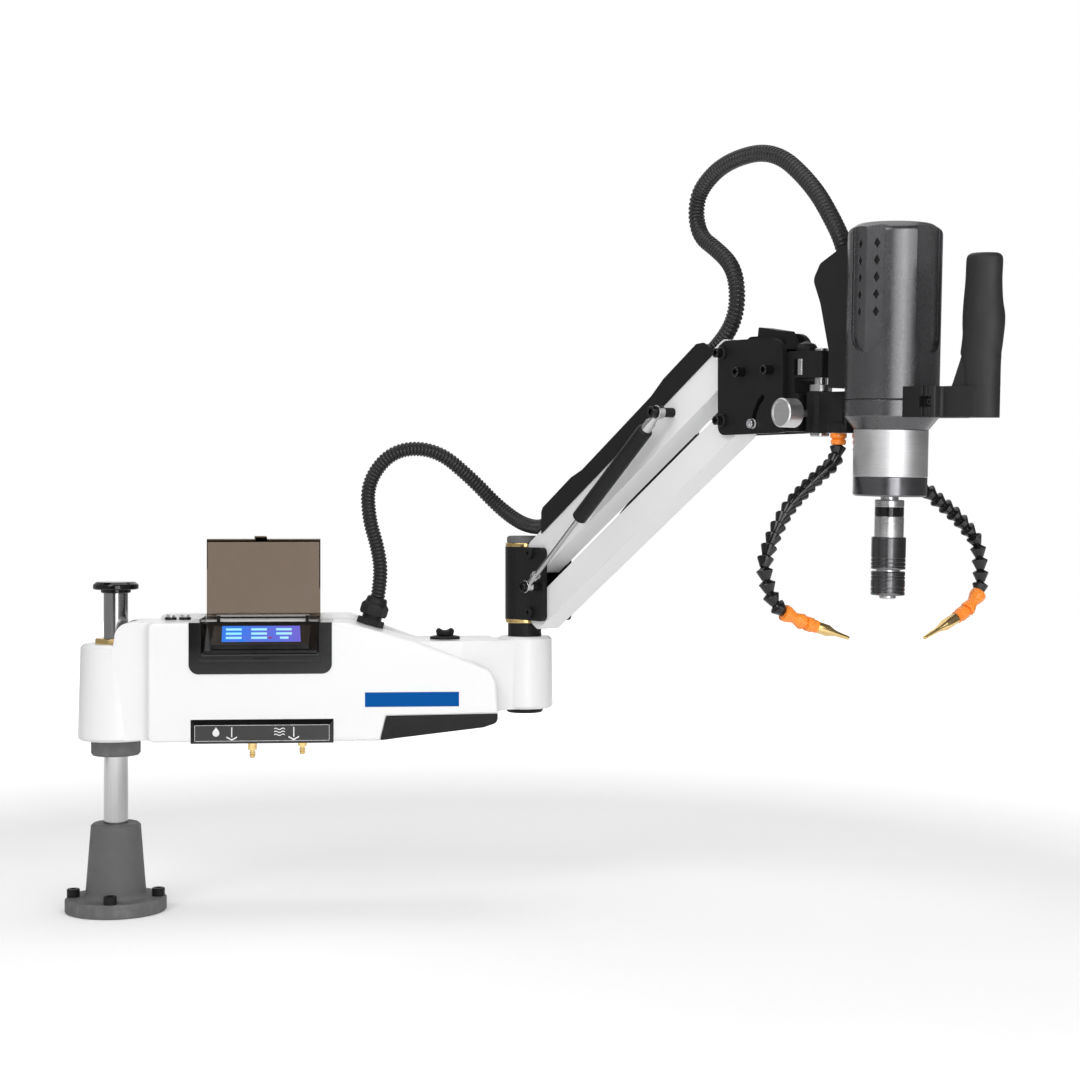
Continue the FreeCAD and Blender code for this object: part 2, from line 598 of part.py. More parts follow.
def link_pin(x, z, outer):
    """Pivot pin across the forearm, with a socket head on each side."""
    pin = rod(LINK_PIN_R, (x, -outer, z), (x, outer, z))
    for side in (-1, 1):
        head = turned([(0, 0, 0), (7, 0, 0), (7, 4.5, 1), (0, 4.5, 0)])
        head = head.cut(hexagon(5, (2, 5)))
        pin = pin.fuse(aimed(head, (x, side * outer, z), (0, side, 0)))
    return pin.removeSplitter()


# ---------------------------------------------------------------- forearm links
def link_body(bottom, top, lower_corner):
    """Hollow link: cheeks with rounded ends, and a boss round each pivot."""
    end = LINK_LENGTH + 12
    outline = [(-13, bottom + 12, 4), (-6, bottom, lower_corner), (end, bottom, 14),
               (end, top, 14), (-14, top, 14)]
    body = side_slab(outline, (-LINK_HALF_W, LINK_HALF_W))
    inside = LINK_HALF_W - LINK_WALL
    body = body.cut(box((-40, LINK_LENGTH + 40), (-inside, inside),
                        (bottom + LINK_WALL, top - LINK_WALL)))
    for station in (0, LINK_LENGTH):
        body = body.fuse(rod(10, (station, -LINK_HALF_W, 0), (station, LINK_HALF_W, 0)))
    return body.removeSplitter()


def links():
    bore = LINK_PIN_R + SLIDE_GAP
    upper = link_body(UPPER_Q[0], UPPER_Q[1], 5)
    lower = link_body(LOWER_Q[0], LOWER_Q[1], 5)
    for station in (0, LINK_LENGTH):
        pin_hole = rod(bore, (station, -20, 0), (station, 20, 0))
        upper = upper.cut(pin_hole)
        lower = lower.cut(pin_hole)
    lower = lower.cut(rod(LINK_PIN_R + 0.4, (LINK_LENGTH, -20, 0), (LINK_LENGTH, 20, 0)))
    d, q = SPRING_HEAD
    upper = upper.fuse(rod(8, (d, -LINK_HALF_W, q), (d, LINK_HALF_W, q)))
    upper = upper.cut(rod(4, (d, -20, q), (d, 20, q))).removeSplitter()
    keep("upper_link", on_link(upper, PIN_Z[1]))
    keep("lower_link", on_link(lower, PIN_Z[0]))


def head_studs():
    """Studs on the upper link that carry the heads of the gas springs."""
    d, q = SPRING_HEAD
    studs = []
    for side in (-1, 1):
        stud = joined(rod(4, (d, 0.5 * side, q), (d, side * (SPRING_Y + 7), q)),
                      rod(5.5, (d, side * LINK_HALF_W, q), (d, side * (SPRING_Y - 4.4), q)),
                      rod(6.8, (d, side * (SPRING_Y + 4.4), q), (d, side * (SPRING_Y + 7), q)))
        studs.append(on_link(stud, PIN_Z[1]))
    return studs


def cable_tray():
    half = 16.7
    skin = 1.9
    outline = [(26.4, 12.8, 0), (40.5, 35.7, 4), (46.2, 38.8, 3), (116, 38.8, 12),
               (140, 34.6, 12), (298, 34.6, 12), (327, 38.8, 12), (396, 38.8, 5),
               (407, 33, 3), (416, 19.1, 2), (416, 12.8, 0)]
    tray = side_slab(outline, (-half, half))
    # the ends stay open for the conduits, and the roof is held above them
    roof = [(0, UPPER_Q[1] + 19.0, 0), (112, 36.9, 12), (120, 36.9, 12), (318, 36.9, 12),
            (430, 36.9, 0), (430, 10, 0), (0, 10, 0)]
    floor_cut = side_slab(roof, (-LINK_HALF_W - 0.2, LINK_HALF_W + 0.2))
    low_roof = box((132, 304), (-half, half), (34.6 - skin, 45))
    tray = tray.cut(floor_cut.cut(low_roof))
    keep("cable_tray", on_link(tray.removeSplitter(), PIN_Z[1]))


def spring_line():
    """Foot, head and direction of the gas springs in the forearm's frame."""
    lift = math.radians(LIFT)
    d, q = SPRING_HEAD
    foot = V(SPRING_FOOT[0], 0, SPRING_FOOT[1])
    head = V(PIN_X + d * math.cos(lift) - q * math.sin(lift), 0,
             PIN_Z[1] + d * math.sin(lift) + q * math.cos(lift))
    return foot, head, head - foot


def gas_springs():
    foot, head, line = spring_line()
    span = line.Length
    across = FreeCAD.Rotation(V(0, 0, 1), line)
    tube = turned([(0, 30, 0), (TUBE_R, 30, 2), (TUBE_R, 194, 1), (TUBE_BORE_R, 194, 0),
                   (TUBE_BORE_R, 34, 0), (0, 34, 0)])
    neck = turned([(0, 0, 0), (3.9, 0, 0), (3.9, 22, 0), (6, 22, 0), (6, 31, 0), (0, 31, 0)])
    eye = rod(7.5, (0, -4, 0), (0, 4, 0))
    cylinder = tube.fuse([neck, eye]).cut(rod(4.1, (0, -10, 0), (0, 10, 0)))
    rod_body = turned([(0, 0, 0), (3.9, 0, 0), (3.9, 19, 0), (6, 19, 0), (6, 24, 0),
                       (ROD_R, 24, 0), (ROD_R, 240, 0.6), (0, 240, 0)])
    rod_end = rod_body.fuse(eye).cut(rod(4 + SLIDE_GAP, (0, -10, 0), (0, 10, 0)))
    cylinders = head_studs()
    turned_back = FreeCAD.Rotation(V(0, 0, 1), -line)
    for name, y in (("near", -SPRING_Y), ("far", SPRING_Y)):
        up = rod_end.copy()
        up.Placement = FreeCAD.Placement(foot + V(0, y, 0), across)
        keep("spring_rod_" + name, on_forearm(up))
        down = cylinder.copy()
        down.Placement = FreeCAD.Placement(head + V(0, y, 0), turned_back)
        cylinders.append(on_forearm(down))
    keep("spring_cylinders", *cylinders)
    print("gas spring span %.1f" % span)


# ---------------------------------------------------------------- head carrier
def head_pin_stations():
    """Centres of the two link pins at the head, lower then upper."""
    lift = math.radians(LIFT)
    return [(PIN_X + LINK_LENGTH * math.cos(lift), z + LINK_LENGTH * math.sin(lift)) for z in PIN_Z]


def arc_slot(width, y):
    """Slot on the tilt circle, as wide as given."""
    first, last = (math.radians(a) for a in SLOT_ANGLES)
    cx, cz = TILT_PIVOT
    inner, outer = SLOT_R - width / 2, SLOT_R + width / 2

    def at(radius, angle):
        return V(cx + radius * math.cos(angle), y[0], cz + radius * math.sin(angle))

    middle = (first + last) / 2
    beyond = width / 2 / SLOT_R
    edges = [Part.Arc(at(outer, first), at(outer, middle), at(outer, last)).toShape(),
             Part.Arc(at(outer, last), at(SLOT_R, last - beyond), at(inner, last)).toShape(),
             Part.Arc(at(inner, last), at(inner, middle), at(inner, first)).toShape(),
             Part.Arc(at(inner, first), at(SLOT_R, first + beyond), at(outer, first)).toShape()]
    return Part.Face(Part.Wire(edges)).extrude(V(0, y[1] - y[0], 0))


SPACER_BOLTS = ((446.3, 650.1), (491.7, 650.0))


def head_carrier():
    pins = head_pin_stations()
    for name, side, top in (("near", -1, PLATE_Z[1]), ("far", 1, PLATE_Z[1] + 6)):
        y = sorted((side * PLATE_Y[0], side * PLATE_Y[1]))
        plate = side_slab([(PLATE_X[0], PLATE_Z[0], 10), (PLATE_X[1], PLATE_Z[0], 4),
                           (PLATE_X[1], top - 2, 20), (PLATE_X[0] + 12, top, 8),
                           (PLATE_X[0], top - 6, 6)], y)
        for x, z in pins:
            plate = plate.cut(rod(LINK_PIN_R, (x, -30, z), (x, 30, z)))
        for x, z in SPACER_BOLTS:
            plate = plate.cut(rod(3, (x, -30, z), (x, 30, z)))
        plate = plate.cut(rod(5, (TILT_PIVOT[0], -30, TILT_PIVOT[1]),
                              (TILT_PIVOT[0], 30, TILT_PIVOT[1])))
        plate = plate.cut(arc_slot(SLOT_WIDTH, y))
        keep("head_plate_" + name, on_forearm(plate))
    fasteners = [link_pin(x, z, PLATE_Y[1]) for x, z in pins]

    spacer = side_slab([(440, 640, 2), (500, 640, 2), (500, 668, 1), (503, 671, 1), (509, 671, 1),
                        (495.5, 692, 2), (458, 698.5, 2), (455, 676, 2), (440, 676, 3)],
                       (-LINK_HALF_W, LINK_HALF_W))
    waist = box((430, 520), (-20, -9), (677, 700)).fuse(box((430, 520), (9, 20), (677, 700)))
    spacer = spacer.cut(waist)
    for x, z in SPACER_BOLTS:
        spacer = spacer.cut(rod(3, (x, -20, z), (x, 20, z)))
        for side in (-1, 1):
            fasteners.append(socket_screw(6, 14, (x, side * PLATE_Y[1], z), (0, side, 0)))
    pivot_x, pivot_z = TILT_PIVOT
    reach = PLATE_Y[1] - 0.4
    fasteners.append(rod(5, (pivot_x, -reach, pivot_z), (pivot_x, reach, pivot_z)))
    keep("head_spacer", on_forearm(spacer.removeSplitter()))
    keep("head_pins", *[on_forearm(fastener) for fastener in fasteners])


# ---------------------------------------------------------------- tilting and swivelling head
def tilt_block():
    px, pz = TILT_PIVOT
    half = LINK_HALF_W
    block = side_slab([(453.5, 584.5, 4), (528, 584.5, 0), (528, 625, 3), (520, 625, 4),
                       (520, 641, 3), (SWIVEL_X, 641, 0), (SWIVEL_X, 669, 0),
                       (508, 669, 3), (508, 629, 12), (470, 629, 16), (453.5, 610, 12)],
                      (-half, half))
    corners = box((530, SWIVEL_X + 20), (-20, 20), (630, 680))
    nose = plan_slab([(500, -half, 0), (SWIVEL_X - 4, -half, 6), (SWIVEL_X + 11, -9, 5),
                      (SWIVEL_X + 11, 9, 5), (SWIVEL_X - 4, half, 6), (500, half, 0)], (641, 669))
    block = block.cut(corners.cut(nose)).fuse(nose.common(box((530, 580), (-20, 20), (600, 700))))
    block = block.fuse(turned([(0, 668, 0), (11.5, 668, 0), (11.5, 676, 4), (0, 680.5, 0)], (522, 0)))
    block = block.cut(rod(5 + SLIDE_GAP, (px, -20, pz), (px, 20, pz)))
    block = block.cut(rod(BOSS_R + 1.3, (SWIVEL_X, 0, 580), (SWIVEL_X, 0, 626)))
    block = block.cut(rod(SWIVEL_PIN_R, (SWIVEL_X, 0, 630), (SWIVEL_X, 0, 680)))
    block = block.cut(box((518.5, 532.5), (-half - 1, -5.2), (644, 661)))
    angle = math.radians(SLOT_ANGLES[0])
    screw_x = px + SLOT_R * math.cos(angle)
    screw_z = pz + SLOT_R * math.sin(angle)
    block = block.cut(rod(3, (screw_x, -20, screw_z), (screw_x, 20, screw_z)))
    keep("tilt_block", on_head(block.removeSplitter()))
    screws = []
    for side in (-1, 1):
        seat = PLATE_Y[1] + 0.4
        screws.append(joined(socket_screw(6, seat - 4, (screw_x, side * seat, screw_z), (0, side, 0)),
                             rod(5.6, (screw_x, side * seat, screw_z),
                                 (screw_x, side * (seat + 1), screw_z))))
    keep("slot_screws", *[on_head(screw) for screw in screws])

    pin = turned([(0, 579.5, 0), (10, 579.5, 1), (10, 583.2, 0), (SWIVEL_PIN_R, 583.2, 0),
                  (SWIVEL_PIN_R, 626.3, 0), (12, 626.3, 0.5), (12, 634, 0.5),
                  (SWIVEL_PIN_R, 634, 0), (SWIVEL_PIN_R, 672, 1), (0, 672, 0)], (SWIVEL_X, 0))
    keep("swivel_pin", on_head(pin), on_head(rod(4.6, (525.5, -10, 644), (525.5, -10, 661))))


def motor():
    top_z, dome_z = MOTOR_Z[1], MOTOR_Z[2]
    at = (MOTOR_X, 0)
    cover = turned([(0, MOTOR_Z[0], 0), (MOTOR_R, MOTOR_Z[0], 0.5), (MOTOR_R, top_z, 7),
                    (MOTOR_R - 10, dome_z - 1, 9), (0, dome_z, 0)], at)
    foot = POCKET_FOOT_Z
    outline = cross_slab([(-POCKET_HALF_W, foot, POCKET_HALF_W - 0.1),
                          (POCKET_HALF_W, foot, POCKET_HALF_W - 0.1),
                          (POCKET_HALF_W, dome_z + 10, 0), (-POCKET_HALF_W, dome_z + 10, 0)],
                         (20, MOTOR_R + 10))
    out, across = FLOOR_EDGE
    floor = plan_slab([(0, -across, 0), (out, -across, 0), (RIDGE_R, 0, 0), (out, across, 0),
                       (0, across, 0)], (foot - 10, dome_z + 20))
    pocket = outline.cut(floor)
    for k in range(4):
        cover = cover.cut(round_motor(pocket, POCKET_TURN + 90 * k))
        if k % 2:
            cover = cover.cut(round_motor(vents(), POCKET_TURN + 90 * k))
    keep("motor_cover", on_head(cover))

    low, middle, high = GEARBOX_Z
    housing = turned([(0, low, 0), (BARREL_R, low, 0), (MOTOR_R, middle, 1), (MOTOR_R, high, 1),
                      (0, high, 0)], at)
    keep("gearbox_housing", on_head(housing))
    barrel = turned([(0, BARREL_Z[0], 0), (BARREL_R, BARREL_Z[0], 0.5),
                     (BARREL_R, BARREL_Z[1], 0.5), (0, BARREL_Z[1], 0)], at)
    keep("spindle_barrel", on_head(barrel))
    nose = turned([(9 + SLIDE_GAP, NOSE_Z[0], 0), (BARREL_R - 0.2, NOSE_Z[0], 1.5),
                   (BARREL_R - 0.2, NOSE_Z[1], 0), (9 + SLIDE_GAP, NOSE_Z[1], 0)], at)
    keep("nose_ring", on_head(nose))


def round_motor(shape, angle):
    """Shape drawn on the +X side of the motor, turned about the motor's axis and set on it."""
    moved = shape.copy()
    moved.Placement = FreeCAD.Placement(V(MOTOR_X, 0, 0), FreeCAD.Rotation(V(0, 0, 1), angle))
    return moved


def vents():
    """Two columns of diamond pockets, square to the two flats of a pocket's floor."""
    out, across = FLOOR_EDGE
    lean = math.degrees(math.atan2(RIDGE_R - out, across))
    columns = []
    for side in (-1, 1):
        middle = V((RIDGE_R + out) / 2, side * across / 2, 0)
        for row in range(5):
            z = 703 + VENT_PITCH * row
            diamond = Part.makePolygon([V(-2.6, -3.2, z), V(-2.6, 0, z - 5.4), V(-2.6, 3.2, z),
                                        V(-2.6, 0, z + 5.4), V(-2.6, -3.2, z)])
            pocket = Part.Face(diamond).extrude(V(6, 0, 0))
            pocket.rotate(V(0, 0, 0), V(0, 0, 1), side * lean)
            pocket.translate(middle)
            columns.append(pocket)
    return Part.makeCompound(columns)


def spindle():
    at = (MOTOR_X, 0)
    low, high = CHUCK_SLEEVE_Z
    step = high - 7.2
    core_r, flange_r = 12.0, 14.7
    tip = CHUCK_TIP_Z
    keep("spindle", on_head(turned(
        [(TAP_SHANK_R, tip, 0), (8.35, tip, 1), (8.35, 421, 0), (core_r, 421, 0), (core_r, step, 0),
         (flange_r, step, 0), (flange_r, 500, 0.4), (flange_r - 0.5, 500, 0),
         (flange_r - 0.5, 509.7, 0), (flange_r, 509.7, 0.4), (flange_r, CHUCK_TOP_Z, 0.8),
         (9, CHUCK_TOP_Z, 0), (9, NOSE_Z[1] - 0.3, 0), (0, NOSE_Z[1] - 0.3, 0),
         (0, tip + TAP_SHANK_DEPTH, 0), (TAP_SHANK_R, tip + TAP_SHANK_DEPTH, 0)], at)))
    keep("chuck_collar", on_head(turned([(core_r, 421, 0), (17.1, 421, 2), (17.1, 445, 1),
                                         (core_r, 445, 0)], at)))
    shoulder = step - 4.5
    keep("chuck_sleeve", on_head(turned(
        [(core_r + SLIDE_GAP, low, 0), (17.3, low, 0.8), (17.3, high, 0.8),
         (flange_r + SLIDE_GAP, high, 0), (flange_r + SLIDE_GAP, shoulder, 0),
         (core_r + SLIDE_GAP, shoulder, 0)], at)))


def head_bracket():
    low, high = BRACKET_Z
    body = plan_slab([(SWIVEL_X, -BRACKET_HALF, 0), (590, -BRACKET_HALF, 10), (602, -20, 4),
                      (612, -22, 0), (612, 22, 0), (602, 20, 4), (590, BRACKET_HALF, 10),
                      (SWIVEL_X, BRACKET_HALF, 0)], (low, high))
    body = body.fuse(rod(BOSS_R, (SWIVEL_X, 0, low), (SWIVEL_X, 0, high)))
    body = body.cut(rod(MOTOR_R, (MOTOR_X, 0, 560), (MOTOR_X, 0, 700)))
    body = body.cut(rod(SWIVEL_PIN_R + SLIDE_GAP, (SWIVEL_X, 0, 560), (SWIVEL_X, 0, 700)))
    knob_x, knob_z = SWIVEL_KNOB
    body = body.cut(rod(3.5 + SLIDE_GAP, (knob_x, -20, knob_z), (knob_x, -9.5, knob_z)))
    manifold = box((576, 603), (-21, 21), (low, MANIFOLD_TOP))
    manifold = manifold.makeFillet(4, [edge for edge in manifold.Edges if edge.BoundBox.ZLength > 5])
    manifold = manifold.cut(rod(MOTOR_R, (MOTOR_X, 0, 560), (MOTOR_X, 0, 700)))
    body = body.cut(manifold)
    for x, y in HOSE_FEET:
        manifold = manifold.cut(rod(4 + SLIDE_GAP, (x, y, low - 1), (x, y, low + 7)))
    keep("head_bracket", on_head(body.removeSplitter()))
    keep("coolant_manifold", on_head(manifold))

    knob = turned([(0, 9.8, 0), (3.5, 9.8, 0), (3.5, 23, 0), (5.5, 23, 0), (5.5, 26, 0), (9, 27, 0),
                   (9, 29.5, 0), (15.2, 29.5, 1.5), (15.2, 50, 1.2), (12.2, 50, 0), (12.2, 49.2, 0),
                   (0, 49.2, 0)])
    keep("swivel_knob", on_head(aimed(knob, (knob_x, 0, knob_z), (0, -1, 0))))


def cable_cover():
    outer = side_slab([(582, 629, 4), (581.9, 667.8, 20), (567.9, 716.9, 30), (556.6, 741, 10),
                       (566.7, 757.3, 8), (607, 776, 0), (625, 776, 0), (625, 629, 0)],
                      (-COVER_HALF, COVER_HALF))
    inner = side_slab([(584.5, 631.5, 2), (584.4, 668.2, 20), (570.4, 717.8, 30),
                       (559.6, 741.3, 8), (569.5, 757.5, 6), (569.5, 800, 0), (640, 800, 0),
                       (640, 631.5, 0)], (-COVER_HALF + 2.5, COVER_HALF - 2.5))
    shell = outer.cut(inner).cut(rod(MOTOR_R, (MOTOR_X, 0, 600), (MOTOR_X, 0, 800)))
    keep("cable_cover", on_head(max(shell.Solids, key=lambda s: s.Volume)))


def handle():
    low, high = HANDLE_Z
    middle = (low + high) / 2
    clamp = plan_slab([(655, -25, 0), (714.5, -25, 2), (714.5, -18, 0), (722, -18, 0), (722, 18, 0),
                       (714.5, 18, 0), (714.5, 25, 2), (655, 25, 0)], (low, high))
    clamp = clamp.cut(rod(MOTOR_R, (MOTOR_X, 0, 580), (MOTOR_X, 0, 700)))
    dowels = [rod(3.6, (717.9, side * 21.4, low), (717.9, side * 21.4, high)) for side in (-1, 1)]
    arm = plan_slab([(722, -25, 1), (731, -25, 2), (731, -15, 3), (HANDLE_X, -15, 0),
                     (HANDLE_X, 15, 0), (731, 15, 3), (731, 25, 2), (722, 25, 1)], (low, high))
    stem = oval(HANDLE_X, 19, 15, low).extrude(V(0, 0, GRIP_Z - low))
    gusset = side_slab([(741, high - 1, 0), (744, high + 6, 8), (753, GRIP_Z, 0),
                        (HANDLE_X, GRIP_Z, 0), (HANDLE_X, high - 1, 0)], (-13, 13))
    arm = arm.fuse([stem, gusset])
    # a square pocket over the hinge pin shows the head of the clamp screw
    for side in (-1, 1):
        pocket = box((710.6, 726.3), sorted((side * 19, side * 26)), (middle - 5.2, middle + 5.2))
        clamp = clamp.cut(pocket)
        arm = arm.cut(pocket)
        dowels = [dowel.cut(pocket) for dowel in dowels]
    screw_at = (721.8, -19, middle)
    bore = rod(2.1, screw_at, (721.8, -15, middle))
    dowels = [dowel.cut(bore) for dowel in dowels]
    keep("handle_clamp", on_head(joined(clamp.cut(bore), *dowels)))
    keep("handle_arm", on_head(arm.cut(bore).removeSplitter()),
         on_head(socket_screw(4, 3.2, screw_at, (0, -1, 0))))
    # each section: height, centre, half size across the forearm's line of sight
    sections = ((GRIP_Z + 0.2, 766.4, 26.6), (661, 765.9, 27.2), (668, 767, 27.3), (678, 768.2, 27.4),
                (689, 768.5, 28.3), (698, 768.4, 28.1), (711, 767.4, 26.2), (730, 767.5, 24.5),
                (748, 768, 24.4), (753, 768, 22.8), (755.2, 768, 19))
    wires = [oval(x, 0.78 * size, 0.626 * size, z).OuterWire for z, x, size in sections]
    keep("handle_grip", on_head(Part.makeLoft(wires, True, True)))


def oval(x, a, b, z):
    """Elliptical face with its long axis along the forearm."""
    curve = Part.Ellipse(V(x + a, 0, z), V(x, b, z), V(x, 0, z))
    return Part.Face(Part.Wire(curve.toShape()))


def hose(name, foot, bends, tip):
    """Segmented coolant hose: cones on a smooth curve, with a nozzle at the end."""
    x, y = foot
    seat = BRACKET_Z[0]
    points = [V(x, y, seat - 12)] + [V(*p) for p in bends]
    curve = Part.BSplineCurve()
    curve.interpolate(points)
    line = curve.toShape()
    stations = line.discretize(Number=int(round(line.Length / HOSE_PITCH)) + 1)
    pieces = [rod(4, (x, y, seat - 13), (x, y, seat + 6.5)),
              rod(9.2, (x, y, seat - 14), (x, y, seat - 0.3))]
    for start, end in zip(stations, stations[1:]):
        axis = end - start
        pieces.append(Part.makeCone(8.4, 6.2, axis.Length + 0.8, start, axis))
    last, end = stations[-1], V(*tip)
    axis = end - last
    length = axis.Length
    axis.normalize()
    pieces.append(rod(5.8, last, last + axis * 0.45 * length))
    pieces.append(Part.makeCone(5.0, 2.8, 0.55 * length, last + axis * 0.45 * length, axis))
    print(name, "hose length %.0f" % (line.Length + (end - last).Length), len(stations), "stations")
    keep(name, on_head(joined(*pieces)))


def hoses():
    # bends are given in the frame of the upright head
    hose("hose_left", HOSE_FEET[0],
         [(586.4, -14, 562), (588, -20, 553), (591, -34, 545.5), (594, -64, 526), (599.5, -92, 506),
          (604.5, -113, 483), (609, -129, 458), (611.5, -132, 445.5), (616, -127, 420.5),
          (619.5, -119, 408.5), (624, -100, 397.5), (627, -83, 392)], (634.6, -38.8, 377.8))
    hose("hose_right", HOSE_FEET[1],
         [(592.4, 14, 562), (595, 20, 552), (608, 48, 541), (622, 68, 532), (627, 82, 521), (630.5, 101, 508),
          (632, 116, 498), (633.3, 129, 486), (634.7, 141, 475), (636, 145, 459),
          (638.5, 145, 443), (640, 144, 427), (641.5, 135, 410), (644, 112, 397)],
         (646.7, 55.4, 375.3))


def conduits():
    gland_top = (325.6, GLAND_Y, 386.3)
    lower = [gland_top, (330.8, 10, 416), (326.5, 10, 450), (314.5, 10, 490), (313.5, 10.5, 537),
             (347, 13, 577), (401, 19, 577), (447, 24, 538), (478, 21, 505), (503, 4, 485),
             (519, -14, 478.5), (531, -33.5, 478), (541, -49, 485), (549.2, -62.7, 494.8)]
    keep("lower_conduit", tube_along(lower, CONDUIT_R, "lower conduit"))
    upper = [(368, 676.6), (393.5, 692.3), (411.8, 719.4), (411.8, 752), (401, 773.5), (376, 792),
             (348.7, 808.2), (339.7, 836), (348.7, 863.8), (395.4, 888.1), (473.1, 889.6),
             (533.9, 843.3), (568, 797.5), (583, 770), (588, 745)]
    turn = FreeCAD.Rotation(V(0, 0, 1), FOREARM_YAW)
    route = [turn.multVec(V(t, 0, z)) + V(REACH, 0, 0) for t, z in upper]
    keep("upper_conduit", tube_along(route, CONDUIT_R, "upper conduit"))


def main():
    base()
    height_collar()
    arm_casting()
    arm_covers()
    display()
    screen_lid()
    service_ports()
    arm_controls()
    cable_gland()
    elbow_post()
    elbow_sleeve()
    links()
    cable_tray()
    gas_springs()
    head_carrier()
    tilt_block()
    motor()
    spindle()
    head_bracket()
    cable_cover()
    handle()
    hoses()
    conduits()
    os.makedirs("parts", exist_ok=True)
    for name, shape in nodes.items():
        shape.exportStep("parts/%s.step" % name)
    print(len(nodes), "nodes")


main()
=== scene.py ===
"""Looks of the arm tapping machine: camera, conduits, light, materials and fine pieces."""
import math

import bpy
import bmesh
from mathutils import Matrix, Vector

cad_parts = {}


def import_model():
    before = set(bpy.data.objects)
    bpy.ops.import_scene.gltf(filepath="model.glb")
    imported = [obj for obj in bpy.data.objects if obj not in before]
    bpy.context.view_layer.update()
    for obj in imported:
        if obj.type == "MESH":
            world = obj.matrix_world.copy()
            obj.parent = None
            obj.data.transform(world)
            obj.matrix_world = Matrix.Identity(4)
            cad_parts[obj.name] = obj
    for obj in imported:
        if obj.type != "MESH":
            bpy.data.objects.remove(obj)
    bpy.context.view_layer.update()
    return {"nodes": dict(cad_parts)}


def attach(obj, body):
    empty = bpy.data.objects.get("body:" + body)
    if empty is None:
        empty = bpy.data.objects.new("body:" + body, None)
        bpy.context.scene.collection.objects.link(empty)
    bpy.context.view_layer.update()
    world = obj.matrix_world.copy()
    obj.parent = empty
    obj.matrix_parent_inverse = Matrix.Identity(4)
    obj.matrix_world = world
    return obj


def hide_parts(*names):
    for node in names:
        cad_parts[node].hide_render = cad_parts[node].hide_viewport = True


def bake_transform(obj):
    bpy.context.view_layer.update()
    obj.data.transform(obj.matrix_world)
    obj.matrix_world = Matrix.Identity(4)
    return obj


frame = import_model()
MM = 0.001


# ---------------------------------------------------------------- the part's own frames
ELBOW_X = 512.0
FOREARM_YAW = math.radians(-59.3)
TILT_PIVOT = Vector((500.0, 0.0, 592.0))
LEAN = math.radians(1.75)
FOREARM = Matrix.Translation((ELBOW_X, 0, 0)) @ Matrix.Rotation(FOREARM_YAW, 4, "Z")
HEAD = (FOREARM @ Matrix.Translation(TILT_PIVOT) @ Matrix.Rotation(LEAN, 4, "Y")
        @ Matrix.Translation(-TILT_PIVOT))


def on_arm(x, y, z):
    """Point of the main arm, in metres."""
    return Vector((x, y, z)) * MM


def on_forearm(x, y, z):
    """Point of the forearm's own frame in the row frame, in metres."""
    return (FOREARM @ Vector((x, y, z))) * MM


def on_head(x, y, z):
    """Point of the upright head in the row frame, in metres."""
    return (HEAD @ Vector((x, y, z))) * MM


# ---------------------------------------------------------------- camera
CAMERA_PLACE = (0.34106, -2.5327, 0.512)
LINE_OF_SIGHT = Vector((0.0750, 0.9972, 0))
FOCAL_LENGTH = 66.667         # in millimetres, on a sensor 36 mm wide
SHIFT_PIXELS = -40            # height of the picture's middle over the line of sight
FRAME_PIXELS = 1080


def place_camera():
    """Level camera at the photograph's viewpoint."""
    camera = bpy.data.objects.new("camera", bpy.data.cameras.new("camera"))
    bpy.context.collection.objects.link(camera)
    camera.location = CAMERA_PLACE
    camera.rotation_euler = LINE_OF_SIGHT.to_track_quat("-Z", "Y").to_euler()
    camera.data.sensor_width = 36
    camera.data.lens = FOCAL_LENGTH
    camera.data.shift_y = SHIFT_PIXELS / FRAME_PIXELS
    camera.data.clip_end = 30
    bpy.context.scene.camera = camera


# ---------------------------------------------------------------- meshes
def sweep(name, line, radii, sides):
    """Tube through a line of points, with a radius at each."""
    mesh = bmesh.new()
    tangents = [(line[min(i + 1, len(line) - 1)] - line[max(i - 1, 0)]).normalized()
                for i in range(len(line))]
    side = tangents[0].orthogonal().normalized()
    rings = []
    for middle, tangent, radius in zip(line, tangents, radii):
        side = (side - tangent * side.dot(tangent)).normalized()
        other = tangent.cross(side)
        rings.append(ring_of(mesh, sides, lambda a, b: middle + (side * a + other * b) * radius))
    skin(mesh, rings)
    close_ends(mesh, rings)
    return finish_mesh(name, mesh)


def ring_of(mesh, sides, place):
    """Ring of vertices; place maps the cosine and sine of each angle to a point."""
    angles = [2 * math.pi * k / sides for k in range(sides)]
    return [mesh.verts.new(place(math.cos(angle), math.sin(angle))) for angle in angles]


def skin(mesh, rings):
    """Faces between neighbouring rings of vertices."""
    for low, high in zip(rings, rings[1:]):
        for k in range(len(low)):
            following = (k + 1) % len(low)
            mesh.faces.new((low[k], low[following], high[following], high[k]))


def close_ends(mesh, rings):
    """Flat faces over the first and the last ring."""
    mesh.faces.new(list(reversed(rings[0])))
    mesh.faces.new(rings[-1])


def finish_mesh(name, mesh, smooth=True):
    """Object from a bmesh, which is freed."""
    data = bpy.data.meshes.new(name)
    mesh.to_mesh(data)
    mesh.free()
    if smooth:
        for face in data.polygons:
            face.use_smooth = True
        data.set_sharp_from_angle(angle=math.radians(32))
    piece = bpy.data.objects.new(name, data)
    bpy.context.collection.objects.link(piece)
    return piece


